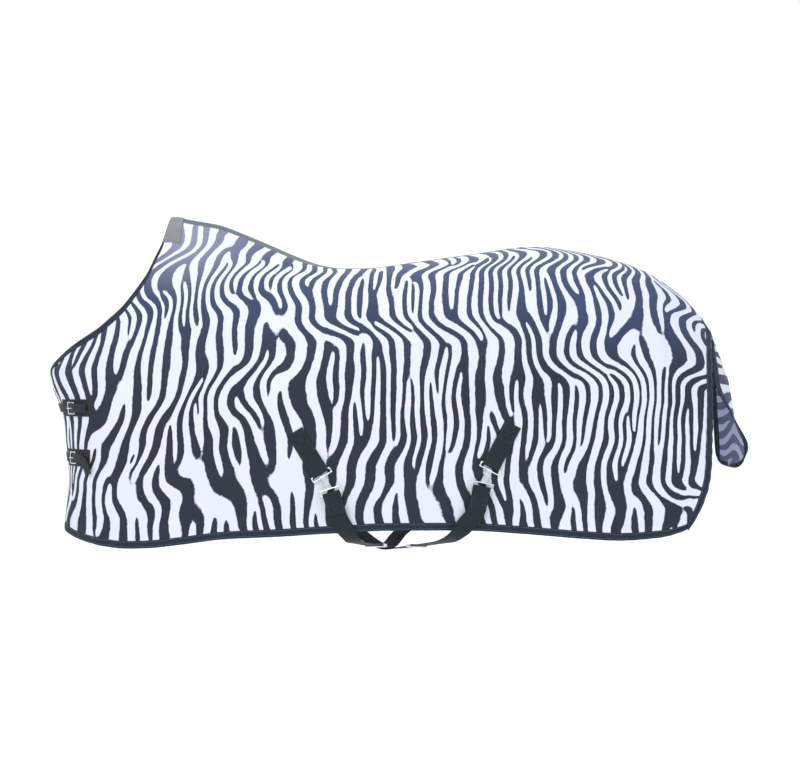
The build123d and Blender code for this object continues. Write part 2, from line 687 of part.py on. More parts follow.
def chest_set(name, z, x_at, tail, droop):
    phi = math.acos(x_at / float(front_x(z)))
    o, t, n = chest_point(phi, z)
    wz = unit(np.cross(n, t))
    if wz[2] < 0:
        wz = -wz
    # sewn patch
    P, N, T = [], [], []
    for p in np.linspace(phi - 0.27, phi + 0.23, 9):
        c, tp, nn = chest_point(p, z, 1.2)
        P.append(c), N.append(nn), T.append(tp)
    put("chest_patch_" + name, ribbon(P, N, 50, 1.8, np.array(T))[0])
    heel = o + n * BK_RISE
    # local frame: X up along the heel bar, Z towards the rear, Y outward or inward
    loc = frame_at(heel, wz, t)
    yaxis = np.cross(t, wz)
    out = 1.0 if np.dot(yaxis, n) > 0 else -1.0
    # chape round the heel bar, sewn to the patch behind it
    chape = web_loop(BILLET_W, BK_R + 0.3, 1.5, 18, 34, slot=7.0)
    put("buckle_chape_" + name, loc * Pos(0, -out * 1.2, 0) * whole(Pos(0, out * 1.2, 0) * chape))
    hw = BILLET_W / 2 + 1.6 + BK_R
    fr = rod(BK_R, (-hw, 0, 0), (hw, 0, 0)) + rod(BK_R, (-hw, 0, -BK_LEN), (hw, 0, -BK_LEN))
    fr = fr + rod(BK_R, (-hw, 0, 0), (-hw, 0, -BK_LEN)) + rod(BK_R, (hw, 0, 0), (hw, 0, -BK_LEN))
    put("buckle_frame_" + name, loc * whole(fr))
    ring = Rot(0, 90, 0) * (Cylinder(BK_R + 0.3 + 1.5, 4) - Cylinder(BK_R + 0.3, 5))
    rise = out * (BK_R + PRONG_R + 0.35)
    prong = ring + rod(PRONG_R, (0, out * 2.2, -2.2), (0, rise, -BK_LEN - 1.5))
    prong = prong - Rot(0, 90, 0) * Cylinder(BK_R + 0.3, 6)
    put("buckle_prong_" + name, loc * whole(prong))
    # strap from the right flap, under the front bar and over the heel bar
    table = [(-0.80, 1.35), (-0.70, 0.5), (-0.60, -1.0), (-0.50, -2.6), (-0.42, -3.9),
             (-0.36, -2.0), (-0.30, 1.8), (-0.25, 3.0), (0.0, 3.2), (0.22, 3.4)]
    off = curve([a for a, b in table], [b for a, b in table])
    P, N, T = [], [], []
    for p in np.concatenate([np.linspace(-0.80, -0.25, 15), np.linspace(-0.15, 0.22, 5)]):
        c, tp, nn = chest_point(p, z, float(off(p)))
        P.append(c), N.append(nn)
    a0, a1 = chest_point(phi - 1e-3, z)[0], chest_point(phi + 1e-3, z)[0]
    rate = float(np.linalg.norm(a1 - a0)) / 2e-3
    last = P[-1]
    for s_, h_ in ((-74, 4.8), (-58, 5.3), (-46, 5.5), (-36, 5.2), (-29, 4.7), (-22, 5.0), (-15, 8.0), (-9, 11.4),
                   (-3, 13.4), (3, 13.8), (9, 13.5), (18, 13.2)):
        if s_ < -30:
            c, tp, nn = chest_point(phi + s_ / rate, z, h_)
        else:
            c, nn = o + t * s_ + n * h_, n
        if np.dot(c - last, t) > 5:
            P.append(c), N.append(nn)
    ends = ((29, 0, 14.0), (38, -3, 13.8), (46, -10, 13.4), (52, -20, 12.8), (55, -32, 11.6),
            (57, -44, 9.6)) if droop else ((29, 0, 14.4), (40, 0, 13.6), (tail, 0, 11.4))
    for s_, dz, h_ in ends:
        c, tp, nn = chest_point(phi + s_ / rate, z + dz, h_)
        P.append(c), N.append(nn)
    solid = ribbon(P, N, BILLET_W, 1.8)[0]
    cut = frame_at(o + n * 8 + t * (-6), wz, t) * Box(4.4, 24, 18)
    solid = solid - cut
    for k in (1, 2, 3):
        c, tp, nn = chest_point(0.22 - 0.11 * k, z, 2.6)
        solid = solid - frame_at(c, unit(np.cross(tp, nn)), nn) * Cylinder(2.0, 12)
    put("chest_strap_" + name, whole(solid))
    print(name, "heel", heel.round(2), "axis", wz.round(5), "t", t.round(4), "n", n.round(4), "out", out)


chest_set("upper", -548.0, -264.0, 50.0, False)
chest_set("lower", -688.0, -261.0, 50.0, True)

# ---------------------------------------------------------------------------
# write one file per node
# ---------------------------------------------------------------------------
for f in os.listdir("parts"):
    if f.endswith(".step"):
        os.remove(os.path.join("parts", f))
for name, shapes in NODES.items():
    solids = [q for s_ in shapes for q in (s_.solids() if hasattr(s_, "solids") else [s_])]
    shape = solids[0] if len(solids) == 1 else Compound(solids)
    shape.label = name
    export_step(shape, "parts/" + name + ".step")

# chest fold axis: the line just outside the surface along the fold
zz = np.linspace(-235, -925, 24)
yy = surf(np.full(24, FOLD_X), zz)
best = None
for i in range(24):
    for j in range(i + 1, 24):
        k = (yy[j] - yy[i]) / (zz[j] - zz[i])
        gap = yy[i] + k * (zz - zz[i]) - yy
        if gap.min() > -1e-6 and (best is None or gap.max() < best[0]):
            best = (gap.max(), yy[i] - k * zz[i], k, i, j)
print("fold axis: y = %.3f + %.5f z, largest gap %.1f" % (best[1], best[2], best[0]))
print(len(NODES), "nodes")
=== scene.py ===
import math

import bpy
import numpy as np
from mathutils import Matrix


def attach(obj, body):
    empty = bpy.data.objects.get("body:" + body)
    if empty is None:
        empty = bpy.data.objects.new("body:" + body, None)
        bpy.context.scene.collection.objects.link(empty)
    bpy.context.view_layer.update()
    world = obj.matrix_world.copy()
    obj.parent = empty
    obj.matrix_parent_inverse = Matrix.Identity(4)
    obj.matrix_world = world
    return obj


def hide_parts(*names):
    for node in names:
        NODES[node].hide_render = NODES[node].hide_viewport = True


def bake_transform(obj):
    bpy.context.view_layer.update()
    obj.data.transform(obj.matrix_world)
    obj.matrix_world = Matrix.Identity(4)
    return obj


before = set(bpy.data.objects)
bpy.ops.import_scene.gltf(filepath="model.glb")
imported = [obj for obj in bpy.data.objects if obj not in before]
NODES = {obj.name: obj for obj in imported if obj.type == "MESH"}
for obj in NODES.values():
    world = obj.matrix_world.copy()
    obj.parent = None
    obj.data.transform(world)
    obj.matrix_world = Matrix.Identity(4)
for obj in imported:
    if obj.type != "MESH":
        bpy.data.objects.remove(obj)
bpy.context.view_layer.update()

# ---------------------------------------------------------------------------
# The draped shape of the rug. The same tables and functions as the CAD part,
# in millimetres; meshes are converted to metres when they are made.
# ---------------------------------------------------------------------------
# driving dimensions (mm)
MESH_T = 2.0            # mesh panel thickness in the solid model
BIND_T = 3.4            # edge binding, folded round the panel
BIND_W = 20.0           # width of hem and rear binding
NECK_W = 24.0           # width of the neck binding
TAPE_W = 30.0           # back seam tape
WEB_W = 48.0            # surcingle webbing width
WEB_T = 2.2             # webbing thickness
BILLET_W = 25.0         # chest strap width
WIRE_R = 2.0            # clip wire radius
BK_R = 1.6              # chest buckle wire radius
LAP = 52.0              # how far each chest flap passes the centre line
LAP_GAP = 7.0           # depth between the two flaps in the lap
FOLD_X = -110.0         # fold line where the chest flap swings open


def slopes(xs, F):
    h = np.diff(xs)
    hh = h.reshape((-1,) + (1,) * (F.ndim - 1))
    d = np.diff(F, axis=0) / hh
    m = np.zeros_like(F, dtype=float)
    a, b = d[:-1], d[1:]
    w1 = (2 * h[1:] + h[:-1]).reshape((-1,) + (1,) * (F.ndim - 1))
    w2 = (h[1:] + 2 * h[:-1]).reshape((-1,) + (1,) * (F.ndim - 1))
    same = (a * b) > 0
    den = np.where(same, w1 / np.where(same, a, 1) + w2 / np.where(same, b, 1), 1)
    m[1:-1] = np.where(same, (w1 + w2) / den, 0)
    m[0] = d[0]
    m[-1] = d[-1]
    return m


def curve(xs, ys):
    xs = np.asarray(xs, float)
    ys = np.asarray(ys, float)
    m = slopes(xs, ys)

    def f(x):
        x = np.asarray(x, float)
        k = np.clip(np.searchsorted(xs, x) - 1, 0, len(xs) - 2)
        h = xs[k + 1] - xs[k]
        t = (x - xs[k]) / h
        lo, hi = t < 0, t > 1
        tc = np.clip(t, 0, 1)
        r = ((1 + 2 * tc) * (1 - tc) ** 2 * ys[k] + tc * (1 - tc) ** 2 * h * m[k]
             + tc * tc * (3 - 2 * tc) * ys[k + 1] + tc * tc * (tc - 1) * h * m[k + 1])
        r = np.where(lo, ys[0] + m[0] * (x - xs[0]), r)
        return np.where(hi, ys[-1] + m[-1] * (x - xs[-1]), r)
    return f


def smooth(a, b, x):
    t = np.clip((np.asarray(x, float) - a) / (b - a), 0, 1)
    return t * t * (3 - 2 * t)


spine_z = curve([-60, -17, 0, 35, 64, 122, 180, 238, 296, 354, 412, 470, 528, 586, 644, 760, 876,
                 992, 1050, 1108, 1224, 1340, 1398, 1456, 1485, 1508, 1531],
                [4, 1, 0, -7, -12, -23, -44, -68, -93, -118, -138, -148, -149, -145, -137, -121,
                 -104, -88, -86, -93, -115, -152, -185, -228, -256, -284, -316])
hem_z = curve([-322, -292, -266, -220, -178, -120, -37, 48, 158, 321, 483, 644, 805, 966, 1128,
               1237, 1348, 1405, 1431],
              [-896, -903, -910, -919, -925, -929, -925, -915, -900, -890, -879, -872, -872,
               -881, -895, -902, -896, -883, -873])
# half width of the rug at a drop D below the back line, station by station
DROP = np.array([0, 10, 30, 65, 120, 200, 300, 430, 600, 850], float)
ST_X = np.array([-365, 0, 120, 260, 420, 600, 800, 1000, 1150, 1250, 1340, 1400, 1456, 1500,
                 1531], float)
ST_Y = np.array([
    [0, 13, 31, 53, 88, 122, 158, 190, 212, 224],
    [0, 14, 34, 58, 98, 137, 180, 220, 246, 261],
    [0, 17, 42, 74, 122, 170, 213, 246, 266, 275],
    [0, 26, 62, 107, 165, 216, 252, 276, 288, 290],
    [0, 46, 98, 152, 208, 255, 285, 300, 304, 302],
    [0, 62, 118, 175, 230, 272, 298, 309, 311, 306],
    [0, 64, 122, 180, 235, 275, 300, 310, 311, 306],
    [0, 64, 122, 180, 232, 272, 296, 305, 305, 299],
    [0, 62, 118, 174, 225, 264, 288, 297, 296, 290],
    [0, 60, 112, 164, 212, 250, 274, 286, 286, 280],
    [0, 56, 104, 150, 195, 232, 256, 270, 272, 266],
    [0, 50, 94, 136, 178, 214, 240, 256, 260, 254],
    [0, 44, 82, 120, 158, 196, 226, 242, 248, 244],
    [0, 38, 72, 108, 146, 182, 206, 224, 234, 232],
    [0, 34, 64, 98, 134, 168, 196, 216, 226, 226]], float)
QROOT = np.sqrt(DROP)


def width_at(x, z):
    """half width at x, z from the station table"""
    x = np.asarray(x, float)
    D = np.maximum(spine_z(np.maximum(x, 0.0)) - z, 0.0)
    q = np.sqrt(D)
    F = np.stack([curve(QROOT, row)(q) for row in ST_Y])
    m = slopes(ST_X, F)
    k = np.clip(np.searchsorted(ST_X, x) - 1, 0, len(ST_X) - 2)
    h = ST_X[k + 1] - ST_X[k]
    t = np.clip((x - ST_X[k]) / h, 0, 1.3)
    pick = lambda A, kk: np.take_along_axis(A, kk[None, ...], axis=0)[0]
    return ((1 + 2 * t) * (1 - t) ** 2 * pick(F, k) + t * (1 - t) ** 2 * h * pick(m, k)
            + t * t * (3 - 2 * t) * pick(F, k + 1) + t * t * (t - 1) * h * pick(m, k + 1))


# front profile of the chest (where the two sides meet), by height
front_x = curve([-930, -890, -818, -760, -702, -644, -586, -528, -499, -470, -447, -404, -371,
                 -325, -266, -174, -69, -10, 20],
                [-322, -322, -316, -310, -313, -319, -326, -343, -356, -362, -365, -351, -336,
                 -314, -269, -152, -60, -30, -26])
# neck cut, from the withers to the front
NECK = np.array([(-17, 0), (-21, -14), (-32, -69), (-45, -106), (-72, -174), (-102, -223),
                 (-134, -266), (-166, -297), (-200, -325), (-237, -347), (-277, -371),
                 (-322, -404), (-352, -429), (-365, -447)], float)
neck_s = np.concatenate([[0], np.cumsum(np.hypot(*np.diff(NECK, axis=0).T))])
NECK_LEN = float(neck_s[-1])
neck_x = curve(neck_s, NECK[:, 0])
neck_z = curve(neck_s, NECK[:, 1])
U_FRONT = -17 - NECK_LEN          # column where the flap reaches the centre line
U_LAP = U_FRONT - LAP
# rear edge
rear_x = curve([-873, -833, -762, -716, -634, -525, -442, -371, -330, -316, -60],
               [1431, 1457, 1485, 1494, 1499, 1506, 1512, 1521, 1529, 1531, 1531.5])


def u_of_neck(x):
    """column whose top is the neck point at this x"""
    s = np.linspace(0, NECK_LEN, 400)
    return -17 - float(np.interp(-x, -neck_x(s), s))


U_FOLD = u_of_neck(FOLD_X)
TH_FOLD = math.acos(FOLD_X / float(front_x(-929)))


def rug_point(u, D, side=-1, inset=0.0):
    """point at column u, drop D below the top edge; side -1 left, +1 right"""
    u = np.asarray(u, float)
    D = np.asarray(D, float)
    u, D = np.broadcast_arrays(u, D)
    s = np.clip(-17 - u, 0, NECK_LEN)
    over = np.maximum(U_FRONT - u, 0.0)
    is_neck = u < -17
    xt = np.where(is_neck, neck_x(s), u)
    zt = np.where(is_neck, neck_z(s), spine_z(np.maximum(u, -17))) - 0.06 * over
    # lower end of the column
    f = np.clip((u - U_FRONT) / (U_FOLD - U_FRONT), 0, 1)
    th_h = TH_FOLD * f
    xh_front = front_x(-900.0) * np.cos(th_h)
    g = smooth(0, 1, (u - U_FOLD) / (30 - U_FOLD))
    xh_mid = FOLD_X + (30 - FOLD_X) * ((u - U_FOLD) / (30 - U_FOLD))
    k = smooth(1150, 1531, xt)
    xh = np.where(u < U_FOLD, xh_front, np.where(u < 30, xh_mid, u - 100 * k))
    zh = hem_z(np.clip(xh, -322, 1440))
    H = zt - zh
    frac = D / H
    z = zt - D
    x_lin = xt + (xh - xt) * frac
    x_rear = xt + (rear_x(np.minimum(z, -60)) - 1531) * k
    x_lin = np.where(u > 30, x_rear, x_lin)
    fx = front_x(z)
    th_t = np.arccos(np.clip(xt / front_x(zt), -1, 1))
    th = th_t + (th_h - th_t) * frac
    w = smooth(-150, -255, xt)
    x = (1 - w) * x_lin + w * fx * np.cos(th)
    neg = over > 0
    th_over = -over / 235.0
    x = np.where(neg, fx * np.cos(th_over), x)
    c = np.clip(x / fx, -1, 1)
    sn = np.where(x < 0, np.sqrt(np.maximum(1 - c * c, 0)), 1.0)
    sn = np.where(w > 0.999, np.sin(th), sn)
    sn = np.where(neg, np.sin(th_over), sn)
    y = width_at(x, z) * sn
    # the far flap lies inside the near one round the front
    if inset:
        d = inset * (1 - smooth(60, 170, y))
        r = np.hypot(x - 0.25 * fx, y) + 1e-9
        x = x - d * (x - 0.25 * fx) / r
        y = y - d * y / r
    y = y + 1.2 * smooth(-40, 10, u)
    return np.stack([x, side * y, z + 0 * y], axis=-1)


def column_height(u):
    p0 = rug_point(u, 0.0)
    xh = rug_point(u, 700.0)
    lo, hi = 300.0, 1100.0
    # drop at which the column meets the hem line
    for _ in range(40):
        mid = 0.5 * (lo + hi)
        p = rug_point(u, mid)
        if p[2] > float(hem_z(min(max(p[0], -322), 1431))):
            lo = mid
        else:
            hi = mid
    return 0.5 * (lo + hi)


U_SAMPLES = np.linspace(U_LAP, 1531, 220)
height = curve(U_SAMPLES, [column_height(u) for u in U_SAMPLES])


def normals(G):
    du = np.gradient(G, axis=0, edge_order=2)
    dv = np.gradient(G, axis=1, edge_order=2)
    n = np.cross(du, dv)
    return n / np.linalg.norm(n, axis=-1, keepdims=True)


PROUD = (BIND_T - MESH_T) / 2


def surf(x, z):
    x = np.asarray(x, float)
    z = np.asarray(z, float)
    sn = np.sqrt(np.clip(1 - (np.minimum(x, 0) / front_x(z)) ** 2, 0, 1))
    return width_at(x, z) * sn + 1.2 * smooth(-40, 10, x)


def ridge_section(x, half, n=4):
    """points from the left side over the ridge to the right, by arc length"""
    D = np.linspace(0, 1, 60) ** 2 * max(half, 30) * 1.1
    z = float(spine_z(x)) - D
    y = surf(np.full(60, x), z)
    s = np.concatenate([[0], np.cumsum(np.hypot(np.diff(y), np.diff(D)))])
    k = np.linspace(0, half, n)
    yy, zz = np.interp(k, s, y), np.interp(k, s, z)
    yy[0] = 0.0
    left = [(x, -a, b) for a, b in zip(yy[::-1], zz[::-1])]
    right = [(x, a, b) for a, b in zip(yy[1:], zz[1:])]
    return np.array(left + right)


PATCH_DROP = 78.0
neck_zs = np.linspace(0, NECK_LEN, 200)
rows = []
for a in np.linspace(0, 1, 5):
    q = np.linspace(1, 0, 9)
    z = -PATCH_DROP * q ** 1.6
    xn = np.interp(-z, -neck_z(neck_zs), neck_x(neck_zs))
    x = xn + (18.0 - xn) * a
    z = z + spine_z(np.maximum(x, 0))
    y = surf(x, z)
    y[-1] = 0.0
    left = np.stack([x, -y, z], axis=-1)
    right = np.stack([x, y, z], axis=-1)[::-1][1:]
    rows.append(np.concatenate([left, right]))


FLAP = np.array([
    # near edge, centre, far edge
    [(1530, -85, -349), (1537, 0, -323), (1530, 85, -349)],
    [(1527, -104, -392), (1560, 0, -383), (1540, 104, -392)],
    [(1530, -113, -470), (1596, 0, -484), (1572, 113, -470)],
    [(1577, -116, -565), (1609, 0, -580), (1579, 114, -580)],
    [(1622, -113, -645), (1612, 0, -668), (1584, 113, -668)],
    [(1628, -104, -668), (1604, 0, -722), (1587, 104, -706)]], float)
flap_t = np.linspace(0, 1, 6)
flap_c = [[curve(flap_t, FLAP[:, k, a]) for a in range(3)] for k in range(3)]


def flap_point(w, t):
    near, mid, far = [np.array([float(f(t)) for f in flap_c[k]]) for k in range(3)]
    a = near if w < 0 else far
    e = abs(w)
    lin = mid + (a - mid) * e
    bow = mid + (a - mid) * e ** 2
    p = lin.copy()
    p[0] = bow[0]
    p[2] = mid[2] + (a[2] - mid[2]) * e ** (2 + 2.2 * t ** 3)
    return p


BAR_GAP = 12.0          # crossbar to the bar inside the upper strap
NECK_DROP = 37.0        # crossbar to the hook frame's upper bar
LOW_GAP = 13.0          # hook frame's upper bar to the bar inside the strap end
END_LEN = 60.0          # strap end that rides on the hook
HALF = WEB_W / 2
CLIPS = {}


def unit(v):
    v = np.array(v, float)
    return v / np.linalg.norm(v)


def blend_path(ctrl, norm, run, sub=3, t0=None):
    """smooth path through the points, kept straight between run and run + 1"""
    ctrl, norm = np.array(ctrl, float), np.array(norm, float)
    n = len(ctrl)
    tan = np.zeros_like(ctrl)
    for i in range(1, n - 1):
        a, b = ctrl[i] - ctrl[i - 1], ctrl[i + 1] - ctrl[i]
        la, lb = np.linalg.norm(a), np.linalg.norm(b)
        tan[i] = unit(a / la * lb + b / lb * la)
    tan[0] = unit(ctrl[1] - ctrl[0]) if t0 is None else t0
    tan[-1] = unit(ctrl[-1] - ctrl[-2])
    d = unit(ctrl[run + 1] - ctrl[run])
    tan[run] = tan[run + 1] = d
    norm[run + 1] = norm[run]
    P, N, T = [], [], []
    for i in range(n - 1):
        L = np.linalg.norm(ctrl[i + 1] - ctrl[i])
        for t in ([0.0] if i == run else np.arange(sub) / sub):
            h00, h10 = (1 + 2 * t) * (1 - t) ** 2, t * (1 - t) ** 2
            h01, h11 = t * t * (3 - 2 * t), t * t * (t - 1)
            P.append(h00 * ctrl[i] + h10 * L * tan[i] + h01 * ctrl[i + 1] + h11 * L * tan[i + 1])
            dd = ((6 * t * t - 6 * t) * ctrl[i] + (3 * t * t - 4 * t + 1) * L * tan[i]
                  + (6 * t - 6 * t * t) * ctrl[i + 1] + (3 * t * t - 2 * t) * L * tan[i + 1])
            T.append(unit(dd))
            N.append(norm[i] * (1 - smooth(0, 1, t)) + norm[i + 1] * smooth(0, 1, t))
    P.append(ctrl[-1])
    T.append(tan[-1])
    N.append(norm[-1])
    return np.array(P), np.array(N), np.array(T)


def side_y(x, z, off):
    return float(surf(x, z)) + off


def chest_point(phi, z, off=0.0):
    """point on the chest; phi > 0 on the left side, 0 at the centre line"""
    def base(p, zz):
        x = float(front_x(zz)) * math.cos(p)
        y = -float(width_at(x, zz)) * math.sin(p)
        return np.array([x, y, zz])
    p = base(phi, z)
    tp = base(phi + 1e-3, z) - base(phi - 1e-3, z)
    tz = base(phi, z + 0.5) - base(phi, z - 0.5)
    n = unit(np.cross(tz, tp))
    if n[0] > 0 and abs(phi) < 1.2:
        n = -n
    return p + n * off, unit(tp), n


BK_RISE = 8.0           # heel bar above the flap
BK_LEN = 26.0           # heel bar to front bar
PRONG_R = 1.3


# ---------------------------------------------------------------------------
# mesh helpers
# ---------------------------------------------------------------------------
def unit(v):
    v = np.array(v, float)
    return v / np.linalg.norm(v)


def noise2(x, y, scale, seed, octaves=1):
    """smooth seeded value noise in -1..1"""
    total, amp, norm = 0.0, 1.0, 0.0
    for o in range(octaves):
        rng = np.random.RandomState(seed + 31 * o)
        tab = rng.uniform(-1, 1, (64, 64))
        s = scale / 2 ** o
        gx, gy = np.asarray(x, float) / s + 17.3, np.asarray(y, float) / s + 9.1
        ix, iy = np.floor(gx).astype(int), np.floor(gy).astype(int)
        fx, fy = gx - ix, gy - iy
        fx, fy = fx ** 3 * (fx * (6 * fx - 15) + 10), fy ** 3 * (fy * (6 * fy - 15) + 10)
        a, b = tab[ix % 64, iy % 64], tab[(ix + 1) % 64, iy % 64]
        c, d = tab[ix % 64, (iy + 1) % 64], tab[(ix + 1) % 64, (iy + 1) % 64]
        total = total + amp * ((a * (1 - fx) + b * fx) * (1 - fy) + (c * (1 - fx) + d * fx) * fy)
        norm += amp
        amp *= 0.5
    return total / norm


def new_mesh(name, P, F, mat, uv=None, attrs=None, smooth=True):
    """P in mm, F quads; uv per vertex in metres"""
    P = np.asarray(P, float).reshape(-1, 3) * 0.001
    F = np.asarray(F, np.int32).reshape(-1, 4)
    me = bpy.data.meshes.new(name)
    me.vertices.add(len(P))
    me.vertices.foreach_set("co", P.astype(np.float32).ravel())
    me.loops.add(F.size)
    me.loops.foreach_set("vertex_index", F.ravel())
    me.polygons.add(len(F))
    me.polygons.foreach_set("loop_start", np.arange(0, F.size, 4, dtype=np.int32))
    me.polygons.foreach_set("loop_total", np.full(len(F), 4, np.int32))
    me.update(calc_edges=True)
    me.validate()
    me.polygons.foreach_set("use_smooth", np.full(len(me.polygons), smooth))
    if uv is not None:
        lay = me.uv_layers.new(name="UVMap")
        idx = np.zeros(len(me.loops), np.int32)
        me.loops.foreach_get("vertex_index", idx)
        lay.data.foreach_set("uv", np.asarray(uv, np.float32).reshape(-1, 2)[idx].ravel())
    for k, v in (attrs or {}).items():
        at = me.attributes.new(k, "FLOAT", "POINT")
        at.data.foreach_set("value", np.asarray(v, np.float32).ravel())
    ob = bpy.data.objects.new(name, me)
    bpy.context.scene.collection.objects.link(ob)
    for m in (mat if isinstance(mat, (list, tuple)) else [mat]):
        me.materials.append(m)
    return ob


def grid_faces(nu, nv, flip=False, wrap=False):
    i = np.arange(nu - 1)[:, None]
    j = np.arange(nv if wrap else nv - 1)[None, :]
    a, b = i * nv + j, (i + 1) * nv + j
    j1 = (j + 1) % nv
    c, d = (i + 1) * nv + j1, i * nv + j1
    F = np.stack([a, b, c, d], axis=-1).reshape(-1, 4)
    return F[:, ::-1] if flip else F


def shell(ob, thick, inside=False):
    m = ob.modifiers.new("shell", "SOLIDIFY")
    m.thickness = thick
    m.offset = -1
    if inside:
        m.material_offset = 1
    return ob


def section(width, thick, n_in=5, slot=0.0):
    """flat rounded section: (across, out) points, closed, for webbing"""
    e = min(0.45 * thick, 0.9)
    xs = [-width / 2 + e * 1.2]
    if slot:
        xs += [-slot, slot]
    else:
        xs += list(np.linspace(-width / 2, width / 2, n_in + 2)[1:-1])
    xs += [width / 2 - e * 1.2]
    top = [(x, thick / 2) for x in xs]
    bot = [(x, -thick / 2) for x in xs[::-1]]
    rim_r = [(width / 2 - 0.2 * e, thick * 0.30), (width / 2 - 0.2 * e, -thick * 0.30)]
    rim_l = [(-width / 2 + 0.2 * e, -thick * 0.30), (-width / 2 + 0.2 * e, thick * 0.30)]
    return np.array(top + rim_r + bot + rim_l)


def band(name, P, N, T, width, thick, mat, v0=0.0, slot=None, cap=True, W=None):
    """webbing with rounded edges along P; slot=(first, last, half width) leaves a hole"""
    P, N, T = [np.array(a, float) for a in (P, N, T)]
    T = T / np.linalg.norm(T, axis=1, keepdims=True)
    N = N - T * np.sum(N * T, axis=1, keepdims=True)
    N = N / np.linalg.norm(N, axis=1, keepdims=True)
    if W is None:
        W = np.cross(T, N)
    S = section(width, thick, slot=slot[2] if slot else 0.0)
    n, k = len(P), len(S)
    G = P[:, None] + W[:, None] * S[None, :, 0, None] + N[:, None] * S[None, :, 1, None]
    s = np.concatenate([[0], np.cumsum(np.linalg.norm(np.diff(P, axis=0), axis=1))]) + v0
    uv = np.stack([np.broadcast_to(S[None, :, 0], (n, k)) * 0.001,
                   np.broadcast_to(s[:, None], (n, k)) * 0.001], axis=-1)
    F = grid_faces(n, k, wrap=True)
    F = F.reshape(n - 1, k, 4)
    extra = []
    if slot:
        a, b = slot[0], slot[1]
        keep = np.ones((n - 1, k), bool)
        keep[a:b, 1] = False            # between top -slot and slot
        keep[a:b, 7] = False            # between bottom slot and -slot
        for i in range(a, b):
            extra.append([i * k + 1, (i + 1) * k + 1, (i + 1) * k + 8, i * k + 8])
            extra.append([(i + 1) * k + 2, i * k + 2, i * k + 7, (i + 1) * k + 7])
        extra.append([a * k + 1, a * k + 8, a * k + 7, a * k + 2][::-1])
        extra.append([b * k + 1, b * k + 8, b * k + 7, b * k + 2])
        F = F[keep]
    F = F.reshape(-1, 4)
    if cap:
        half = k // 2
        for base, rev in ((0, True), ((n - 1) * k, False)):
            top = list(range(0, half - 1))
            # pair top and bottom points into quads
            tops = [base + q for q in range(0, (k - 4) // 2)]
            bots = [base + (k - 4) // 2 + 2 + q for q in range(0, (k - 4) // 2)][::-1]
            for q in range(len(tops) - 1):
                f = [tops[q], tops[q + 1], bots[q + 1], bots[q]]
                extra.append(f if rev else f[::-1])
            r1, r2 = base + (k - 4) // 2, base + (k - 4) // 2 + 1
            l1, l2 = base + k - 2, base + k - 1
            f = [tops[-1], r1, r2, bots[-1]]
            extra.append(f if rev else f[::-1])
            f = [l2, tops[0], bots[0], l1]
            extra.append(f if rev else f[::-1])
    if extra:
        F = np.concatenate([F, np.array(extra)])
    ob = new_mesh(name, G.reshape(-1, 3), F, mat, uv.reshape(-1, 2))
    bm_fix(ob)
    return ob


def bm_fix(ob):
    import bmesh
    bm = bmesh.new()
    bm.from_mesh(ob.data)
    bmesh.ops.recalc_face_normals(bm, faces=bm.faces)
    bm.to_mesh(ob.data)
    bm.free()


def frames(P):
    T = np.gradient(P, axis=0)
    return T / np.linalg.norm(T, axis=1, keepdims=True)


class Local:
    """local frame like the CAD one: x across, z along"""
    def __init__(self, o, ex, ez):
        self.o = np.array(o, float)
        z = unit(ez)
        x = unit(np.array(ex, float) - z * np.dot(ex, z))
        self.M = np.stack([x, np.cross(z, x), z], axis=1)

    def __call__(self, p):
        return self.o + np.asarray(p, float) @ self.M.T

    def dir(self, p):
        return np.asarray(p, float) @ self.M.T


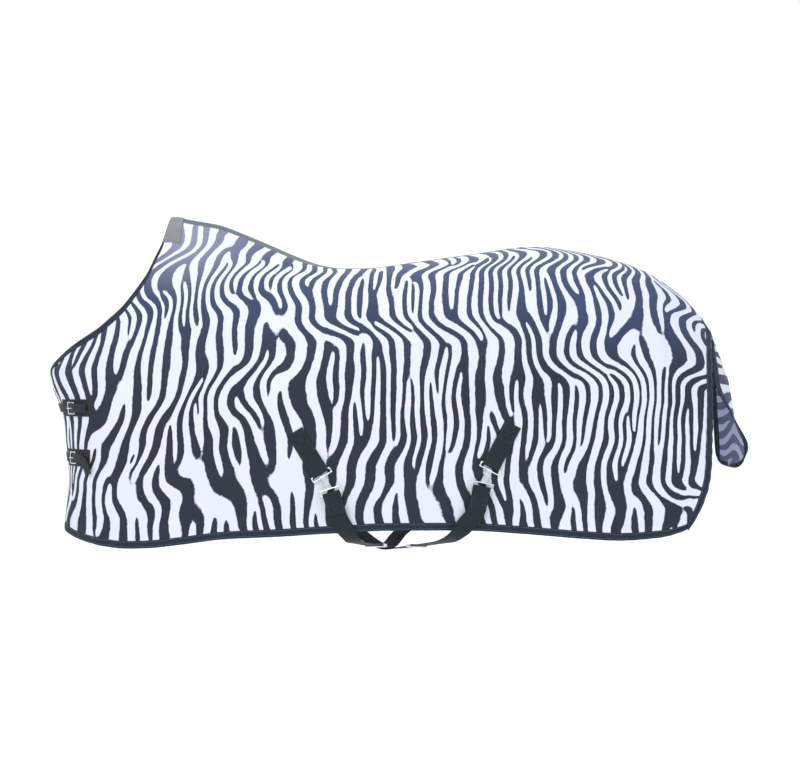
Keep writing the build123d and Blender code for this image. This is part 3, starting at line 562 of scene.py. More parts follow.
# ---------------------------------------------------------------------------
# materials
# ---------------------------------------------------------------------------
class Mat:
    def __init__(self, name):
        self.m = bpy.data.materials.new(name)
        self.m.use_nodes = True
        self.t = self.m.node_tree
        self.t.nodes.clear()
        self.out = self.n("OutputMaterial")
        self.b = self.n("BsdfPrincipled")
        self.l(self.b.outputs[0], self.out.inputs[0])

    def n(self, kind, **kw):
        node = self.t.nodes.new("ShaderNode" + kind)
        for k, v in kw.items():
            setattr(node, k, v)
        return node

    def l(self, a, b):
        self.t.links.new(a, b)

    def math(self, op, a, b=None, c=None):
        node = self.n("Math", operation=op)
        for i, v in enumerate((a, b, c)):
            if v is None:
                continue
            if hasattr(v, "links") or hasattr(v, "is_linked"):
                self.l(v, node.inputs[i])
            else:
                node.inputs[i].default_value = v
        return node.outputs[0]

    def remap(self, v, a, b, lo=0.0, hi=1.0):
        node = self.n("MapRange")
        self.l(v, node.inputs[0])
        node.inputs[1].default_value, node.inputs[2].default_value = a, b
        node.inputs[3].default_value, node.inputs[4].default_value = lo, hi
        return node.outputs[0]

    def mix(self, f, a, b, blend="MIX"):
        node = self.n("Mix", data_type="RGBA", blend_type=blend)
        for s, v in ((0, f), (6, a), (7, b)):
            if hasattr(v, "is_linked"):
                self.l(v, node.inputs[s])
            else:
                node.inputs[s].default_value = v if s == 0 else (*v, 1)
        return node.outputs[2]

    def uv(self):
        node = self.n("UVMap", uv_map="UVMap")
        sep = self.n("SeparateXYZ")
        self.l(node.outputs[0], sep.inputs[0])
        return node.outputs[0], sep.outputs[0], sep.outputs[1]

    def attr(self, name):
        return self.n("Attribute", attribute_name=name).outputs["Fac"]

    def noise(self, vec, scale, detail=2.0, rough=0.5):
        node = self.n("TexNoise")
        if vec is not None:
            self.l(vec, node.inputs["Vector"])
        node.inputs["Scale"].default_value = scale
        node.inputs["Detail"].default_value = detail
        node.inputs["Roughness"].default_value = rough
        return node.outputs["Fac"] if "Fac" in node.outputs else node.outputs[0]

    def bump(self, h, dist, strength=1.0, under=None):
        node = self.n("Bump")
        node.inputs["Strength"].default_value = strength
        node.inputs["Distance"].default_value = dist
        self.l(h, node.inputs["Height"])
        if under is not None:
            self.l(under, node.inputs["Normal"])
        return node.outputs[0]

    def put(self, **kw):
        for k, v in kw.items():
            s = self.b.inputs[k.replace("_", " ")]
            if hasattr(v, "is_linked"):
                self.l(v, s)
            else:
                s.default_value = (*v, 1) if isinstance(v, tuple) and len(v) == 3 else v


PERIOD = 0.0372          # mean distance from stripe to stripe


def print_material(name, inside):
    """striped mesh cloth: the stripes are a carrier wave bent by the two stored field values"""
    m = Mat(name)
    vec, X, Y = m.uv()
    k = 2 * math.pi / PERIOD
    wob = m.noise(vec, 62, 3.0, 0.55)
    ang = m.math("MULTIPLY", X, k)
    val = m.math("SUBTRACT", m.math("MULTIPLY", m.attr("pr"), m.math("COSINE", ang)),
                 m.math("MULTIPLY", m.attr("pi"), m.math("SINE", ang)))
    val = m.math("ADD", val, m.math("MULTIPLY", m.math("SUBTRACT", wob, 0.5), 0.62))
    val = m.math("SUBTRACT", val, m.attr("thr"))
    white = m.remap(val, -0.10, 0.10)
    # dark ink: charcoal, with a painted sky reflection that turns it navy higher up and a painted highlight that
    # pales it on top of the withers
    cloud = m.noise(vec, 5.0, 2.0)
    painted_sky_reflection = m.math("ADD", m.attr("painted_sky_reflection"), m.math("MULTIPLY", m.math("SUBTRACT", cloud, 0.5), 0.5))
    painted_sky_reflection = m.math("MINIMUM", m.math("MAXIMUM", painted_sky_reflection, 0.0), 1.0)
    dark = m.mix(painted_sky_reflection, (0.025, 0.030, 0.045), (0.044, 0.066, 0.138))
    # painted highlight: the dark ink pales towards grey-blue on top of the withers
    dark = m.mix(m.attr("painted_highlight"), dark, (0.25, 0.265, 0.375))
    light = m.mix(cloud, (0.64, 0.68, 0.80), (0.71, 0.74, 0.83))
    if inside:
        dark = m.mix(0.85, dark, (0.17, 0.215, 0.35))
        light = m.mix(0.8, light, (0.60, 0.60, 0.80))
    col = m.mix(white, dark, light)
    col = m.mix(m.attr("tapeedge"), col, (0.115, 0.150, 0.185))
    # open mesh: two crossed thread systems, 1.7 mm apart
    w = 2 * math.pi / 0.0017
    tx, ty = m.math("SINE", m.math("MULTIPLY", X, w)), m.math("SINE", m.math("MULTIPLY", Y, w))
    weave = m.math("ADD", m.math("MULTIPLY", m.math("MULTIPLY", tx, ty), 0.5), 0.5)
    thread = m.noise(vec, 900, 2.0)
    weave = m.math("ADD", weave, m.math("MULTIPLY", thread, 0.35))
    # painted shade in the holes of the mesh, a touch lighter on the threads
    painted_pore_shade = m.remap(weave, 0.15, 0.75, 0.86, 1.02)
    grey = m.n("CombineColor")
    for i in range(3):
        m.l(painted_pore_shade, grey.inputs[i])
    col = m.mix(1.0, col, grey.outputs[0], "MULTIPLY")
    soil = m.noise(vec, 2.3, 4.0, 0.6)
    col = m.mix(m.remap(soil, 0.35, 0.75, 0.0, 0.10), col, (0.62, 0.62, 0.66), "MULTIPLY")
    puck = m.noise(vec, 34, 3.0, 0.6)
    nrm = m.bump(puck, 0.0011, 0.5)
    nrm = m.bump(weave, 0.00045, 0.55, nrm)
    m.put(Base_Color=col, Roughness=m.remap(weave, 0, 1.2, 0.72, 0.56), Normal=nrm)
    m.put(Specular_IOR_Level=0.12, Sheen_Weight=0.02, Sheen_Roughness=0.45)
    return m.m


def tape_material(name, base, second, rib, stitch_at=None, rib_mm=1.3, sheen=0.03, rough=0.72,
                  stitch=(0.16, 0.19, 0.25)):
    """woven tape or webbing; u across and v along, in metres. stitch_at: lines across, in m"""
    m = Mat(name)
    vec, X, Y = m.uv()
    w = 2 * math.pi / (rib_mm * 0.001)
    warp = m.math("SINE", m.math("MULTIPLY", X, w))
    # herringbone: the filling shifts with the distance across
    zig = m.math("PINGPONG", m.math("ADD", X, 10.0), 0.004)
    weft = m.math("SINE", m.math("MULTIPLY", m.math("ADD", Y, m.math("MULTIPLY", zig, 0.8)), w * 0.8))
    tex = m.math("ADD", m.math("MULTIPLY", m.math("MULTIPLY", warp, weft), 0.5), 0.5)
    fuzz = m.noise(vec, 700, 3.0, 0.6)
    h = m.math("ADD", m.math("MULTIPLY", tex, rib), m.math("MULTIPLY", fuzz, 0.5))
    var = m.noise(vec, 14, 3.0)
    col = m.mix(m.remap(var, 0.3, 0.7), base, second)
    # painted highlight: the raised ribs of the weave are coloured lighter than the grooves
    col = m.mix(m.remap(h, 0.1, 1.1, 0.0, 0.35), col, tuple(min(1, c * 1.5 + 0.003) for c in base))
    height = h
    if stitch_at:
        run = m.math("SINE", m.math("MULTIPLY", Y, 2 * math.pi / 0.0046))
        on = m.remap(run, -0.25, 0.1)
        for s in stitch_at:
            d = m.math("ABSOLUTE", m.math("SUBTRACT", X, s))
            line = m.math("MULTIPLY", m.remap(d, 0.0003, 0.0007, 1.0, 0.0), on)
            col = m.mix(line, col, stitch)
            height = m.math("ADD", height, m.math("MULTIPLY", line, 1.6))
    nrm = m.bump(height, 0.0004, 0.75)
    m.put(Base_Color=col, Roughness=m.remap(fuzz, 0.2, 0.8, rough - 0.08, rough + 0.1), Normal=nrm)
    m.put(Specular_IOR_Level=0.2, Sheen_Weight=sheen, Sheen_Roughness=0.4)
    return m.m


def steel_material(name):
    m = Mat(name)
    co = m.n("TexCoord").outputs["Object"]
    a = m.noise(co, 900, 3.0, 0.6)
    b = m.noise(co, 60, 3.0, 0.6)
    col = m.mix(m.remap(b, 0.35, 0.7), (0.86, 0.87, 0.89), (0.62, 0.64, 0.68))
    m.put(Base_Color=col, Roughness=m.remap(a, 0.3, 0.7, 0.16, 0.30),
          Normal=m.bump(a, 0.00006, 0.4))
    m.put(Metallic=1.0, IOR=2.2)
    return m.m


M_PRINT = print_material("mesh_print", False)
M_BACK = print_material("mesh_print_inside", True)
M_BIND = tape_material("binding_tape", (0.010, 0.018, 0.031), (0.017, 0.028, 0.047), 0.8,
                       [0.0035, 0.0165], 1.1)
M_SPINE = tape_material("spine_tape", (0.105, 0.135, 0.165), (0.16, 0.19, 0.22), 0.8,
                        [-0.0125, 0.0125], 1.2, stitch=(0.3, 0.33, 0.37))
M_WEB = tape_material("webbing", (0.0085, 0.0135, 0.0165), (0.013, 0.020, 0.024), 1.0, None, 1.9,
                      sheen=0.03, rough=0.62)
M_WEBST = tape_material("webbing_stitched", (0.0085, 0.0135, 0.0165), (0.013, 0.020, 0.024), 1.0,
                        [-0.0205, 0.0205], 1.9, sheen=0.03, rough=0.62, stitch=(0.05, 0.062, 0.07))
M_GREY = tape_material("withers_webbing", (0.165, 0.175, 0.185), (0.225, 0.235, 0.245), 1.3, None,
                       3.2, sheen=0.04, rough=0.75)
M_BILLET = tape_material("billet", (0.016, 0.018, 0.021), (0.030, 0.031, 0.033), 1.0,
                         [-0.0095, 0.0095], 1.6, sheen=0.04, rough=0.6, stitch=(0.07, 0.07, 0.075))
M_STEEL = steel_material("bright_steel")

# ---------------------------------------------------------------------------
# cloth coordinates, folds and print
# ---------------------------------------------------------------------------
E_Y = curve([0, 64, 122, 180, 235, 275, 300, 330], [0, 55, 96, 129, 152, 161, 164, 166])


def flat_xy(P, side):
    """where a point of the surface lies in the flat cloth, mm"""
    x, y, z = P[..., 0], P[..., 1] * side, P[..., 2]
    fx = front_x(z)
    wd = np.maximum(width_at(x, z), 20.0)
    th = np.arctan2(y / wd, np.maximum(x / fx, 1e-3))
    cf = np.clip(FOLD_X / fx, 0, 0.999)
    thf = np.arctan2(np.sqrt(1 - cf * cf), cf)
    X = np.where(x > FOLD_X, x, FOLD_X - 235.0 * (thf - th))
    Y = -z + E_Y(np.abs(y)) * smooth(-150, 250, x)
    return X, Y


def bump_at(cx, cz, wx, wz, P):
    return np.exp(-((P[..., 0] - cx) / wx) ** 2 - ((P[..., 2] - cz) / wz) ** 2)


def folds(P, X, Y, side):
    """how far the hanging cloth stands out of the smooth shape, mm"""
    sd = 5 if side < 0 else 50
    z = P[..., 2]
    low = smooth(-380, -800, z)
    d = 3.6 * low * noise2(X + 0.18 * Y, 0.22 * Y, 78, sd + 1)
    d += 2.6 * smooth(-60, -260, z) * noise2(X - 0.3 * Y, 0.5 * Y, 190, sd + 2, 2)
    d += 1.1 * smooth(-20, -120, z) * noise2(X, Y, 46, sd + 3, 2)
    # the fold left by packing, low on the side
    line = -846 + 8 * noise2(X, 0 * Y, 260, sd + 4)
    d += 1.6 * np.exp(-((z - line) / 5.0) ** 2) * smooth(-360, -250, X) * \
        (1 - smooth(60, 420, X) * (1 - smooth(900, 1080, X)))
    line2 = -430 + 10 * noise2(X, 0 * Y, 240, sd + 5)
    d += 0.9 * np.exp(-((z - line2) / 4.0) ** 2) * smooth(-200, 0, X)
    # gathers beside the hem tape and the rear tape
    hem = hem_z(np.clip(P[..., 0], -322, 1431))
    dh = np.maximum(z - hem, 0)
    d += 1.3 * np.exp(-dh / 26.0) * np.sin(X / 5.2 + 3 * noise2(X, Y, 60, sd + 6))
    rr = np.maximum(rear_x(np.minimum(z, -60)) - P[..., 0], 0)
    d += 1.1 * np.exp(-rr / 30.0) * np.sin(z / 5.6 + 3 * noise2(X, Y, 60, sd + 7)) * smooth(-90, -200, z)
    # darts over the rump and the croup
    for cx, cz, wx, wz, a in ((1352, -318, 16, 46, -3.4), (1383, -352, 14, 40, 2.6),
                              (1322, -300, 20, 36, 2.2), (1000, -104, 12, 22, -1.6)):
        d += a * bump_at(cx, cz, wx, wz, P)
    d += 1.2 * bump_at(1356, -335, 40, 60, P) * np.sin(z / 3.4)
    # pulled towards the sewn straps
    for cx, cz in ((361, -609), (946, -589)):
        d += -1.8 * bump_at(cx, cz + 4, 48, 48, P)
    # held flat where the belly straps and the chest pads are sewn on
    flat = 0 * X
    for a, b in (((361, -609), (437, -730)), ((946, -589), (882, -711))):
        ab = np.array(b, float) - np.array(a, float)
        ab = ab / np.linalg.norm(ab)
        rx, rz = P[..., 0] - a[0], P[..., 2] - a[1]
        t = np.clip(rx * ab[0] + rz * ab[1], -10, 150)
        flat = np.maximum(flat, 1 - smooth(30, 62, np.hypot(rx - t * ab[0], rz - t * ab[1])))
    for cz in (-548, -688):
        flat = np.maximum(flat, (1 - smooth(30, 55, np.abs(z - cz))) * (1 - smooth(-200, -150, P[..., 0])))
    d = d * (1 - flat) - 0.9 * flat
    lap = smooth(-330, -200, X)
    return d * smooth(0, 1, (Y + 60) / 160.0) * (0.35 + 0.65 * lap) * (0.25 + 0.75 * smooth(-260, -150, P[..., 0]))


def cloth(u, D, side, inset=0.0, off=0.0, want=False):
    """point of the hanging cloth, pushed out by off"""
    u, D = np.broadcast_arrays(np.asarray(u, float), np.asarray(D, float))
    P = rug_point(u, D, side, inset)
    lo = np.where(u >= -17, np.maximum(D - 1.5, 0.3), D - 1.5)
    du = rug_point(u + 1.5, D, side, inset) - rug_point(u - 1.5, D, side, inset)
    dv = rug_point(u, lo + 3.0, side, inset) - rug_point(u, lo, side, inset)
    n = np.cross(dv, du) * side
    n = n / np.maximum(np.linalg.norm(n, axis=-1, keepdims=True), 1e-9)
    X, Y = flat_xy(P, side)
    d = folds(P, X, Y, side)
    Q = P + n * (d + off)[..., None] if np.ndim(off) else P + n * (d + off)[..., None]
    if want:
        return Q, n, X, Y
    return Q


def field(X, Y, seed, lean=True):
    """the print: a slowly turning complex field whose zeros are the forks of the stripes"""
    rng = np.random.RandomState(seed)
    wx = 60 * noise2(0.35 * X, Y, 112, seed + 1) + 26 * noise2(X, Y, 430, seed + 2) \
        + 5.0 * noise2(X, Y, 62, seed + 3)
    if lean:
        wx = wx + (1 - smooth(-420, 640, X)) * 0.36 * 430 * (1 - np.exp(-np.maximum(Y, 0) / 430))
    else:
        wx = 0.35 * wx - 0.26 * (X - X.min())
    ph = 2 * np.pi * wx / (PERIOD * 1000)
    B = np.exp(1j * ph)
    x0, x1, y0, y1 = X.min() - 120, X.max() + 120, Y.min() - 120, Y.max() + 120
    cx, cy = 88.0, 205.0
    for i, gx in enumerate(np.arange(x0, x1, cx)):
        for j, gy in enumerate(np.arange(y0, y1, cy)):
            px = gx + rng.uniform(0, 0.95) * cx
            py = gy + (0.5 if i % 2 else 0.0) * cy + rng.uniform(-0.32, 0.32) * cy
            L = rng.uniform(70, 250)
            t = rng.uniform(-0.22, 0.22)
            s = 1 if (i + j) % 2 else -1
            for ax, ay, c in ((px, py, s), (px + t * L, py + L, -s)):
                dx, dy = X - ax, (Y - ay) / 2.5
                w = (dx + 1j * dy) / np.sqrt(dx * dx + dy * dy + 49.0)
                B = B * (w if c > 0 else np.conj(w))
    mag = np.abs(B)
    B = B / np.maximum(mag, 1e-9) * np.minimum(mag ** 0.6, 1.0)
    thr = -0.02 + 0.46 * noise2(X, 0.38 * Y, 52, seed + 7) + 0.16 * noise2(X, 0.5 * Y, 24, seed + 8)
    return B, thr


def print_attrs(X, Y, z, x, seed, lean=True):
    B, thr = field(X, Y, seed, lean)
    # painted sky reflection: the dark ink turns navy higher up the side
    painted_sky_reflection = smooth(-560, -130, z + 60 * noise2(X, Y, 210, seed + 9))
    # painted highlight: strongest over the withers, with a little along the upper part of the side
    painted_highlight = (1 - smooth(0, 220, np.hypot((x - 40) * 0.75, z + 60))) * 0.75 + 0.12 * smooth(-240, -90, z)
    return {"pr": B.real, "pi": B.imag, "thr": thr, "painted_sky_reflection": painted_sky_reflection, "painted_highlight": painted_highlight}


# ---------------------------------------------------------------------------
# the two sides of the rug, each one sheet from the lap at the chest to the tail
# ---------------------------------------------------------------------------
def build_side(side, name, inset, seed):
    n_u, n_v = 470, 190
    u = np.concatenate([np.linspace(U_LAP + 0.2, -30, 175), np.linspace(-26, 1530.6, n_u - 175)])
    v = np.linspace(0, 1, n_v)
    p = 1.15 + 0.85 * smooth(-60, 90, u)
    H = height(u)
    D = H[:, None] * v[None, :] ** p[:, None]
    U = np.broadcast_to(u[:, None], D.shape)
    ins = inset
    Q, n, X, Y = cloth(U, D, side, ins, -0.3, want=True)
    attrs = print_attrs(X, Y, Q[..., 2], Q[..., 0], seed)
    # the turned-down edge of the back seam tape, wide over the withers
    wide = 4.5 + 9.5 * (1 - smooth(330, 460, Q[..., 0]))
    attrs["tapeedge"] = (1 - smooth(wide - 1.5, wide + 1.5, D)) * (Q[..., 0] > 8)
    uv = np.stack([X, Y], axis=-1) * 0.001
    ob = new_mesh(name + "_cloth", Q, grid_faces(n_u, n_v, flip=(side > 0)), [M_BACK, M_PRINT], uv,
                  attrs)
    shell(ob, 0.0012, True)
    area = float(np.abs(np.linalg.norm(np.cross(Q[1:, :-1] - Q[:-1, :-1],
                                                Q[:-1, 1:] - Q[:-1, :-1]), axis=-1)).sum()) * 1e-6
    return ob, area


TAPE = [(20, 0.10), (19.4, 0.85), (14, 1.15), (7, 1.25), (1.2, 1.15), (-0.7, 0.6), (-1.3, -0.6),
        (-0.7, -1.8), (1.2, -2.3), (7, -2.4), (14, -2.3), (19.4, -2.1), (20, -1.35)]


def edge_tape(name, st_u, st_D, mode, side, inset, width=20.0):
    """tape folded round an edge; mode says which way the edge faces"""
    st_u, st_D = np.broadcast_arrays(np.asarray(st_u, float), np.asarray(st_D, float))
    S = np.array(TAPE)
    t = S[:, 0] * np.where(S[:, 0] > 0, width / 20.0, 1.0)
    if mode == "hem":
        U, D = st_u[:, None] + 0 * t, st_D[:, None] - t
    elif mode == "neck":
        U, D = st_u[:, None] + 0 * t, st_D[:, None] + t
    elif mode == "rear":
        U, D = st_u[:, None] - t, st_D[:, None] + 0 * t
    else:
        U, D = st_u[:, None] + t, st_D[:, None] + 0 * t
    base = cloth(U, np.maximum(D, 0.0 if mode == "rear" else -50), side, inset, 0.0)
    s = np.concatenate([[0], np.cumsum(np.linalg.norm(np.diff(base[:, 4], axis=0), axis=1))])
    rip = 0.28 * np.sin(s / 2.9 + 2 * noise2(s, 0 * s, 40, 3)) + 0.5 * noise2(s, 0 * s, 70, 4)
    off = S[None, :, 1] + rip[:, None] * (S[None, :, 1] > -0.7)
    G = cloth(U, np.maximum(D, 0.0 if mode == "rear" else -50), side, inset, off)
    uv = np.stack([np.broadcast_to(t[None, :], off.shape), np.broadcast_to(s[:, None], off.shape)],
                  axis=-1) * 0.001
    ob = new_mesh(name, G, grid_faces(len(s), len(S), wrap=True), M_BIND, uv)
    bm_fix(ob)
    return ob


SHEETS = {}
for side, name, inset, seed in ((-1, "left", 0.0, 11), (1, "right", LAP_GAP, 47)):
    flap = name + "_flap"
    ob, area = build_side(side, name, inset, seed)
    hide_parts(name + "_side_panel", name + "_chest_panel")
    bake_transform(ob)
    us = np.concatenate([np.linspace(U_LAP + 1.5, -30, 110), np.linspace(-24, 1529, 330)])
    hem = edge_tape(name + "_hem_tape", us, height(us), "hem", side, inset, BIND_W)
    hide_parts(name + "_hem_binding", name + "_flap_hem_binding")
    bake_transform(hem)
    us = np.linspace(U_LAP + 1.5, -26, 150)
    neck = edge_tape(name + "_neck_tape", us, 0 * us, "neck", side, inset, NECK_W)
    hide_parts(name + "_neck_binding", name + "_flap_neck_binding")
    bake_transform(neck)
    f = np.linspace(0.03, 1.0, 150)
    rear = edge_tape(name + "_rear_tape", 1531 + 0 * f, (float(height(1529)) + 1.5) * f ** 1.5, "rear",
                     side, 0.0, BIND_W)
    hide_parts(name + "_rear_binding")
    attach(rear, "root")
    Ds = np.linspace(-1.5, float(height(U_LAP + 8)) + 1.5, 110)
    front = edge_tape(name + "_front_tape", U_LAP + 0 * Ds, Ds, "front", side, inset, BIND_W)
    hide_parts(name + "_flap_front_binding")
    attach(front, flap)
    SHEETS[name] = (ob, area, [hem, neck, rear, front])

# back seam tape
xs = np.linspace(16, 1526, 300)
G = np.array([ridge_section(x, TAPE_W / 2, 6) for x in xs])
n = normals(G)
n = n * np.sign(n[..., 2:3])
G = G + n * 1.5
s = np.concatenate([[0], np.cumsum(np.linalg.norm(np.diff(G[:, 5], axis=0), axis=1))])
acr = np.linspace(-TAPE_W / 2, TAPE_W / 2, G.shape[1])
uv = np.stack([np.broadcast_to(acr[None], G.shape[:2]), np.broadcast_to(s[:, None], G.shape[:2])],
              axis=-1) * 0.001
spine = new_mesh("back_seam_tape", G, grid_faces(*G.shape[:2]), M_SPINE, uv)
bm_fix(spine)
if spine.data.polygons[0].normal.z < 0:
    spine.data.flip_normals()
shell(spine, 0.0013)
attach(spine, "root")
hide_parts("spine_tape")

# withers patch
neck_zs = np.linspace(0, NECK_LEN, 400)
rows = []
for a in np.linspace(-0.04, 1, 22):
    q = np.linspace(1, 0, 22)
    z = -PATCH_DROP * q ** 1.6
    xn = np.interp(-z, -neck_z(neck_zs), neck_x(neck_zs))
    x = xn + (18.0 - xn) * a
    z = z + spine_z(np.maximum(x, 0))
    y = surf(x, z)
    y[-1] = 0.0
    left = np.stack([x, -y, z], axis=-1)
    right = np.stack([x, y, z], axis=-1)[::-1][1:]
    rows.append(np.concatenate([left, right]))
G = np.array(rows)
n = normals(G)
n = n * np.where(n[..., 2:3] < 0, -1, 1)
edge = np.ones(G.shape[:2])
edge[0] = edge[-1] = edge[:, 0] = edge[:, -1] = 0.0
G = G + n * (2.3 + 0.9 * edge)[..., None]
s1 = np.concatenate([[0], np.cumsum(np.linalg.norm(np.diff(G[:, 10], axis=0), axis=1))])
s2 = np.concatenate([[0], np.cumsum(np.linalg.norm(np.diff(G[10], axis=0), axis=1))])
uv = np.stack([np.broadcast_to(s1[:, None], G.shape[:2]), np.broadcast_to(s2[None], G.shape[:2])],
              axis=-1) * 0.001
patch = new_mesh("withers_pad", G, grid_faces(*G.shape[:2]), M_GREY, uv)
bm_fix(patch)
if sum(p.normal.z for p in patch.data.polygons) < 0:
    patch.data.flip_normals()
shell(patch, 0.0019)
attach(patch, "root")
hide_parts("withers_patch")

# tail flap
ws, ts = np.linspace(-0.995, 0.995, 61), np.linspace(0.0, 0.999, 76)
G = np.array([[flap_point(w, t) for t in ts] for w in ws])
n = normals(G)
if np.sum(n[..., 0]) < 0:
    n = -n
s = np.concatenate([[0], np.cumsum(np.linalg.norm(np.diff(G[30], axis=0), axis=1))])
a = np.concatenate([[0], np.cumsum(np.linalg.norm(np.diff(G[:, 38], axis=0), axis=1))])
LEN, WID = float(s[-1]), float(a[-1])
SS, AA = np.broadcast_to(s[None], G.shape[:2]), np.broadcast_to(a[:, None], G.shape[:2])
rip = 1.6 * noise2(AA, SS * 0.4, 70, 91) * smooth(20, 120, SS) + 0.7 * noise2(AA, SS, 32, 92)
G = G + n * (rip - 0.3)[..., None]
at = print_attrs(SS + 5000, AA + 100, G[..., 2], G[..., 0], 83, lean=False)
# an even painted sky reflection over the whole tail flap
at["painted_sky_reflection"] = at["painted_sky_reflection"] * 0 + 0.75
# and a small even painted highlight
at["painted_highlight"] = at["painted_highlight"] * 0 + 0.10
at["tapeedge"] = at["painted_highlight"] * 0
uv = np.stack([SS + 5000, AA + 100], axis=-1) * 0.001
tail = new_mesh("tail_cloth", G, grid_faces(*G.shape[:2]), [M_PRINT, M_BACK], uv, at)
bm_fix(tail)
nn = np.array([p.normal.x for p in tail.data.polygons]).sum()
if nn < 0:
    tail.data.flip_normals()
shell(tail, 0.0012, True)
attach(tail, "tail_flap")
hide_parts("tail_flap")
# its tape, all in one down one edge, along the bottom and up the other edge
path = [(-1.0, t, (1, 0)) for t in np.linspace(0.03, 0.93, 50)]
path += [(-1.0 + 0.06 * k, 0.93 + 0.07 * math.sin(math.pi / 2 * k / 3), (1, -1)) for k in (1, 2)]
path += [(w, 1.0, (0, -1)) for w in np.linspace(-0.80, 0.80, 40)]
path += [(1.0 - 0.06 * k, 0.93 + 0.07 * math.sin(math.pi / 2 * k / 3), (-1, -1)) for k in (2, 1)]
path += [(1.0, t, (-1, 0)) for t in np.linspace(0.93, 0.03, 50)]
S = np.array(TAPE)
rows, uvs = [], []
run = 0.0
last = None
for w, t, d in path:
    dn = np.hypot(*d)
    row = []
    e = 0.002
    c0 = flap_point(w, t)
    half = max(np.linalg.norm(flap_point(0.999 * np.sign(w) if abs(w) > 0.5 else 1, t) - flap_point(0, t)), 60)
    for tt, off in S:
        dw, dt = d[0] / dn * tt / half, d[1] / dn * tt / LEN
        ww, tq = np.clip(w + dw, -1.012, 1.012), np.clip(t + dt, 0.0, 1.006)
        c = flap_point(ww, tq)
        gu = flap_point(min(ww + e, 1.0), tq) - flap_point(ww - e, tq)
        gv = flap_point(ww, min(tq + e, 1.0)) - flap_point(ww, tq - e)
        nrm = unit(np.cross(gu, gv))
        if nrm[0] < 0:
            nrm = -nrm
        row.append(c + nrm * off)
    if last is not None:
        run += np.linalg.norm(c0 - last)
    last = c0
    rows.append(row)
    uvs.append([(tt * 0.001, run * 0.001) for tt, off in S])
tape = new_mesh("tail_tape", np.array(rows), grid_faces(len(rows), len(S), wrap=True), M_BIND,
                np.array(uvs))
bm_fix(tape)
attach(tape, "tail_flap")
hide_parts("tail_flap_binding")

# ---------------------------------------------------------------------------
# belly surcingles
# ---------------------------------------------------------------------------
def arc_pts(cy, cz, r, a0, a1, n):
    t = np.radians(np.linspace(a0, a1, n))
    return [(0, cy + r * math.cos(q), cz + r * math.sin(q)) for q in t]


def fold_path(r, t, L1, L2, step=4.0):
    """one ply round a bar at the origin, both plies meeting at L1 and running to L2 (y, z)"""
    R = r + t / 2
    pts = [(0, -t / 2, z) for z in np.linspace(L2, L1, max(3, int((L2 - L1) / step)))]
    k = math.degrees(math.atan2(R - t / 2, L1))
    pts += [(0, -(t / 2 + (R - t / 2) * q), L1 * (1 - q)) for q in np.linspace(0.15, 0.9, 6)]
    pts += arc_pts(0, 0, R, 180 - k * 0 , 360, 15)
    pts += [(0, t / 2 + (R - t / 2) * q, L1 * (1 - q)) for q in np.linspace(0.9, 0.15, 6)]
    pts += [(0, t / 2, z) for z in np.linspace(L1, L2, max(3, int((L2 - L1) / step)))]
    return np.array(pts)


def fold_band(name, loc, r, t, L1, L2, width, mat, step=4.0, xc=0.0):
    P = fold_path(r, t, L1, L2, step)
    T = frames(P)
    N = np.cross(T, np.array([1.0, 0, 0]))
    P = P + np.array([xc, 0, 0])
    return band(name, loc(P), loc.dir(N), loc.dir(T), width, t, mat)


CLIPS = {}
HOOKS = {"front": ((361.4, -608.8), (437.3, -729.5), 15.0),
         "rear": ((946.2, -588.8), (881.5, -711.4), -15.8)}
HALF = WEB_W / 2


def box_stitch(name, loc, w, z0, z1, y, body, r=0.42):
    """a stitched box with a cross, as small raised stitches"""
    segs = [((-w, z0), (w, z0)), ((w, z0), (w, z1)), ((w, z1), (-w, z1)), ((-w, z1), (-w, z0)),
            ((-w, z0), (w, z1)), ((w, z0), (-w, z1))]
    V_, F_ = [], []
    for a, b in segs:
        a, b = np.array(a, float), np.array(b, float)
        L = np.linalg.norm(b - a)
        d = (b - a) / L
        q = np.array([-d[1], d[0]])
        for k in np.arange(1.2, L - 1.0, 4.2):
            c0, c1 = a + d * k, a + d * min(k + 3.0, L)
            i = len(V_)
            for c, h in ((c0, 0.0), ((c0 + c1) / 2, r), (c1, 0.0)):
                for sgn in (-1, 0, 1):
                    p = c + q * sgn * r
                    V_.append((p[0], y - (h + (0.35 if sgn == 0 else -0.1)), p[1]))
            for g in (0, 1):
                for e in (0, 1):
                    F_.append([i + g * 3 + e, i + g * 3 + e + 1, i + g * 3 + e + 4, i + g * 3 + e + 3])
    ob = new_mesh(name, loc(np.array(V_)), np.array(F_), M_THREAD, np.array(V_)[:, [0, 2]] * 0.001)
    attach(ob, body)
    return ob


M_THREAD = tape_material("thread", (0.030, 0.036, 0.042), (0.05, 0.056, 0.062), 0.4, None, 0.6,
                         sheen=0.03, rough=0.55)


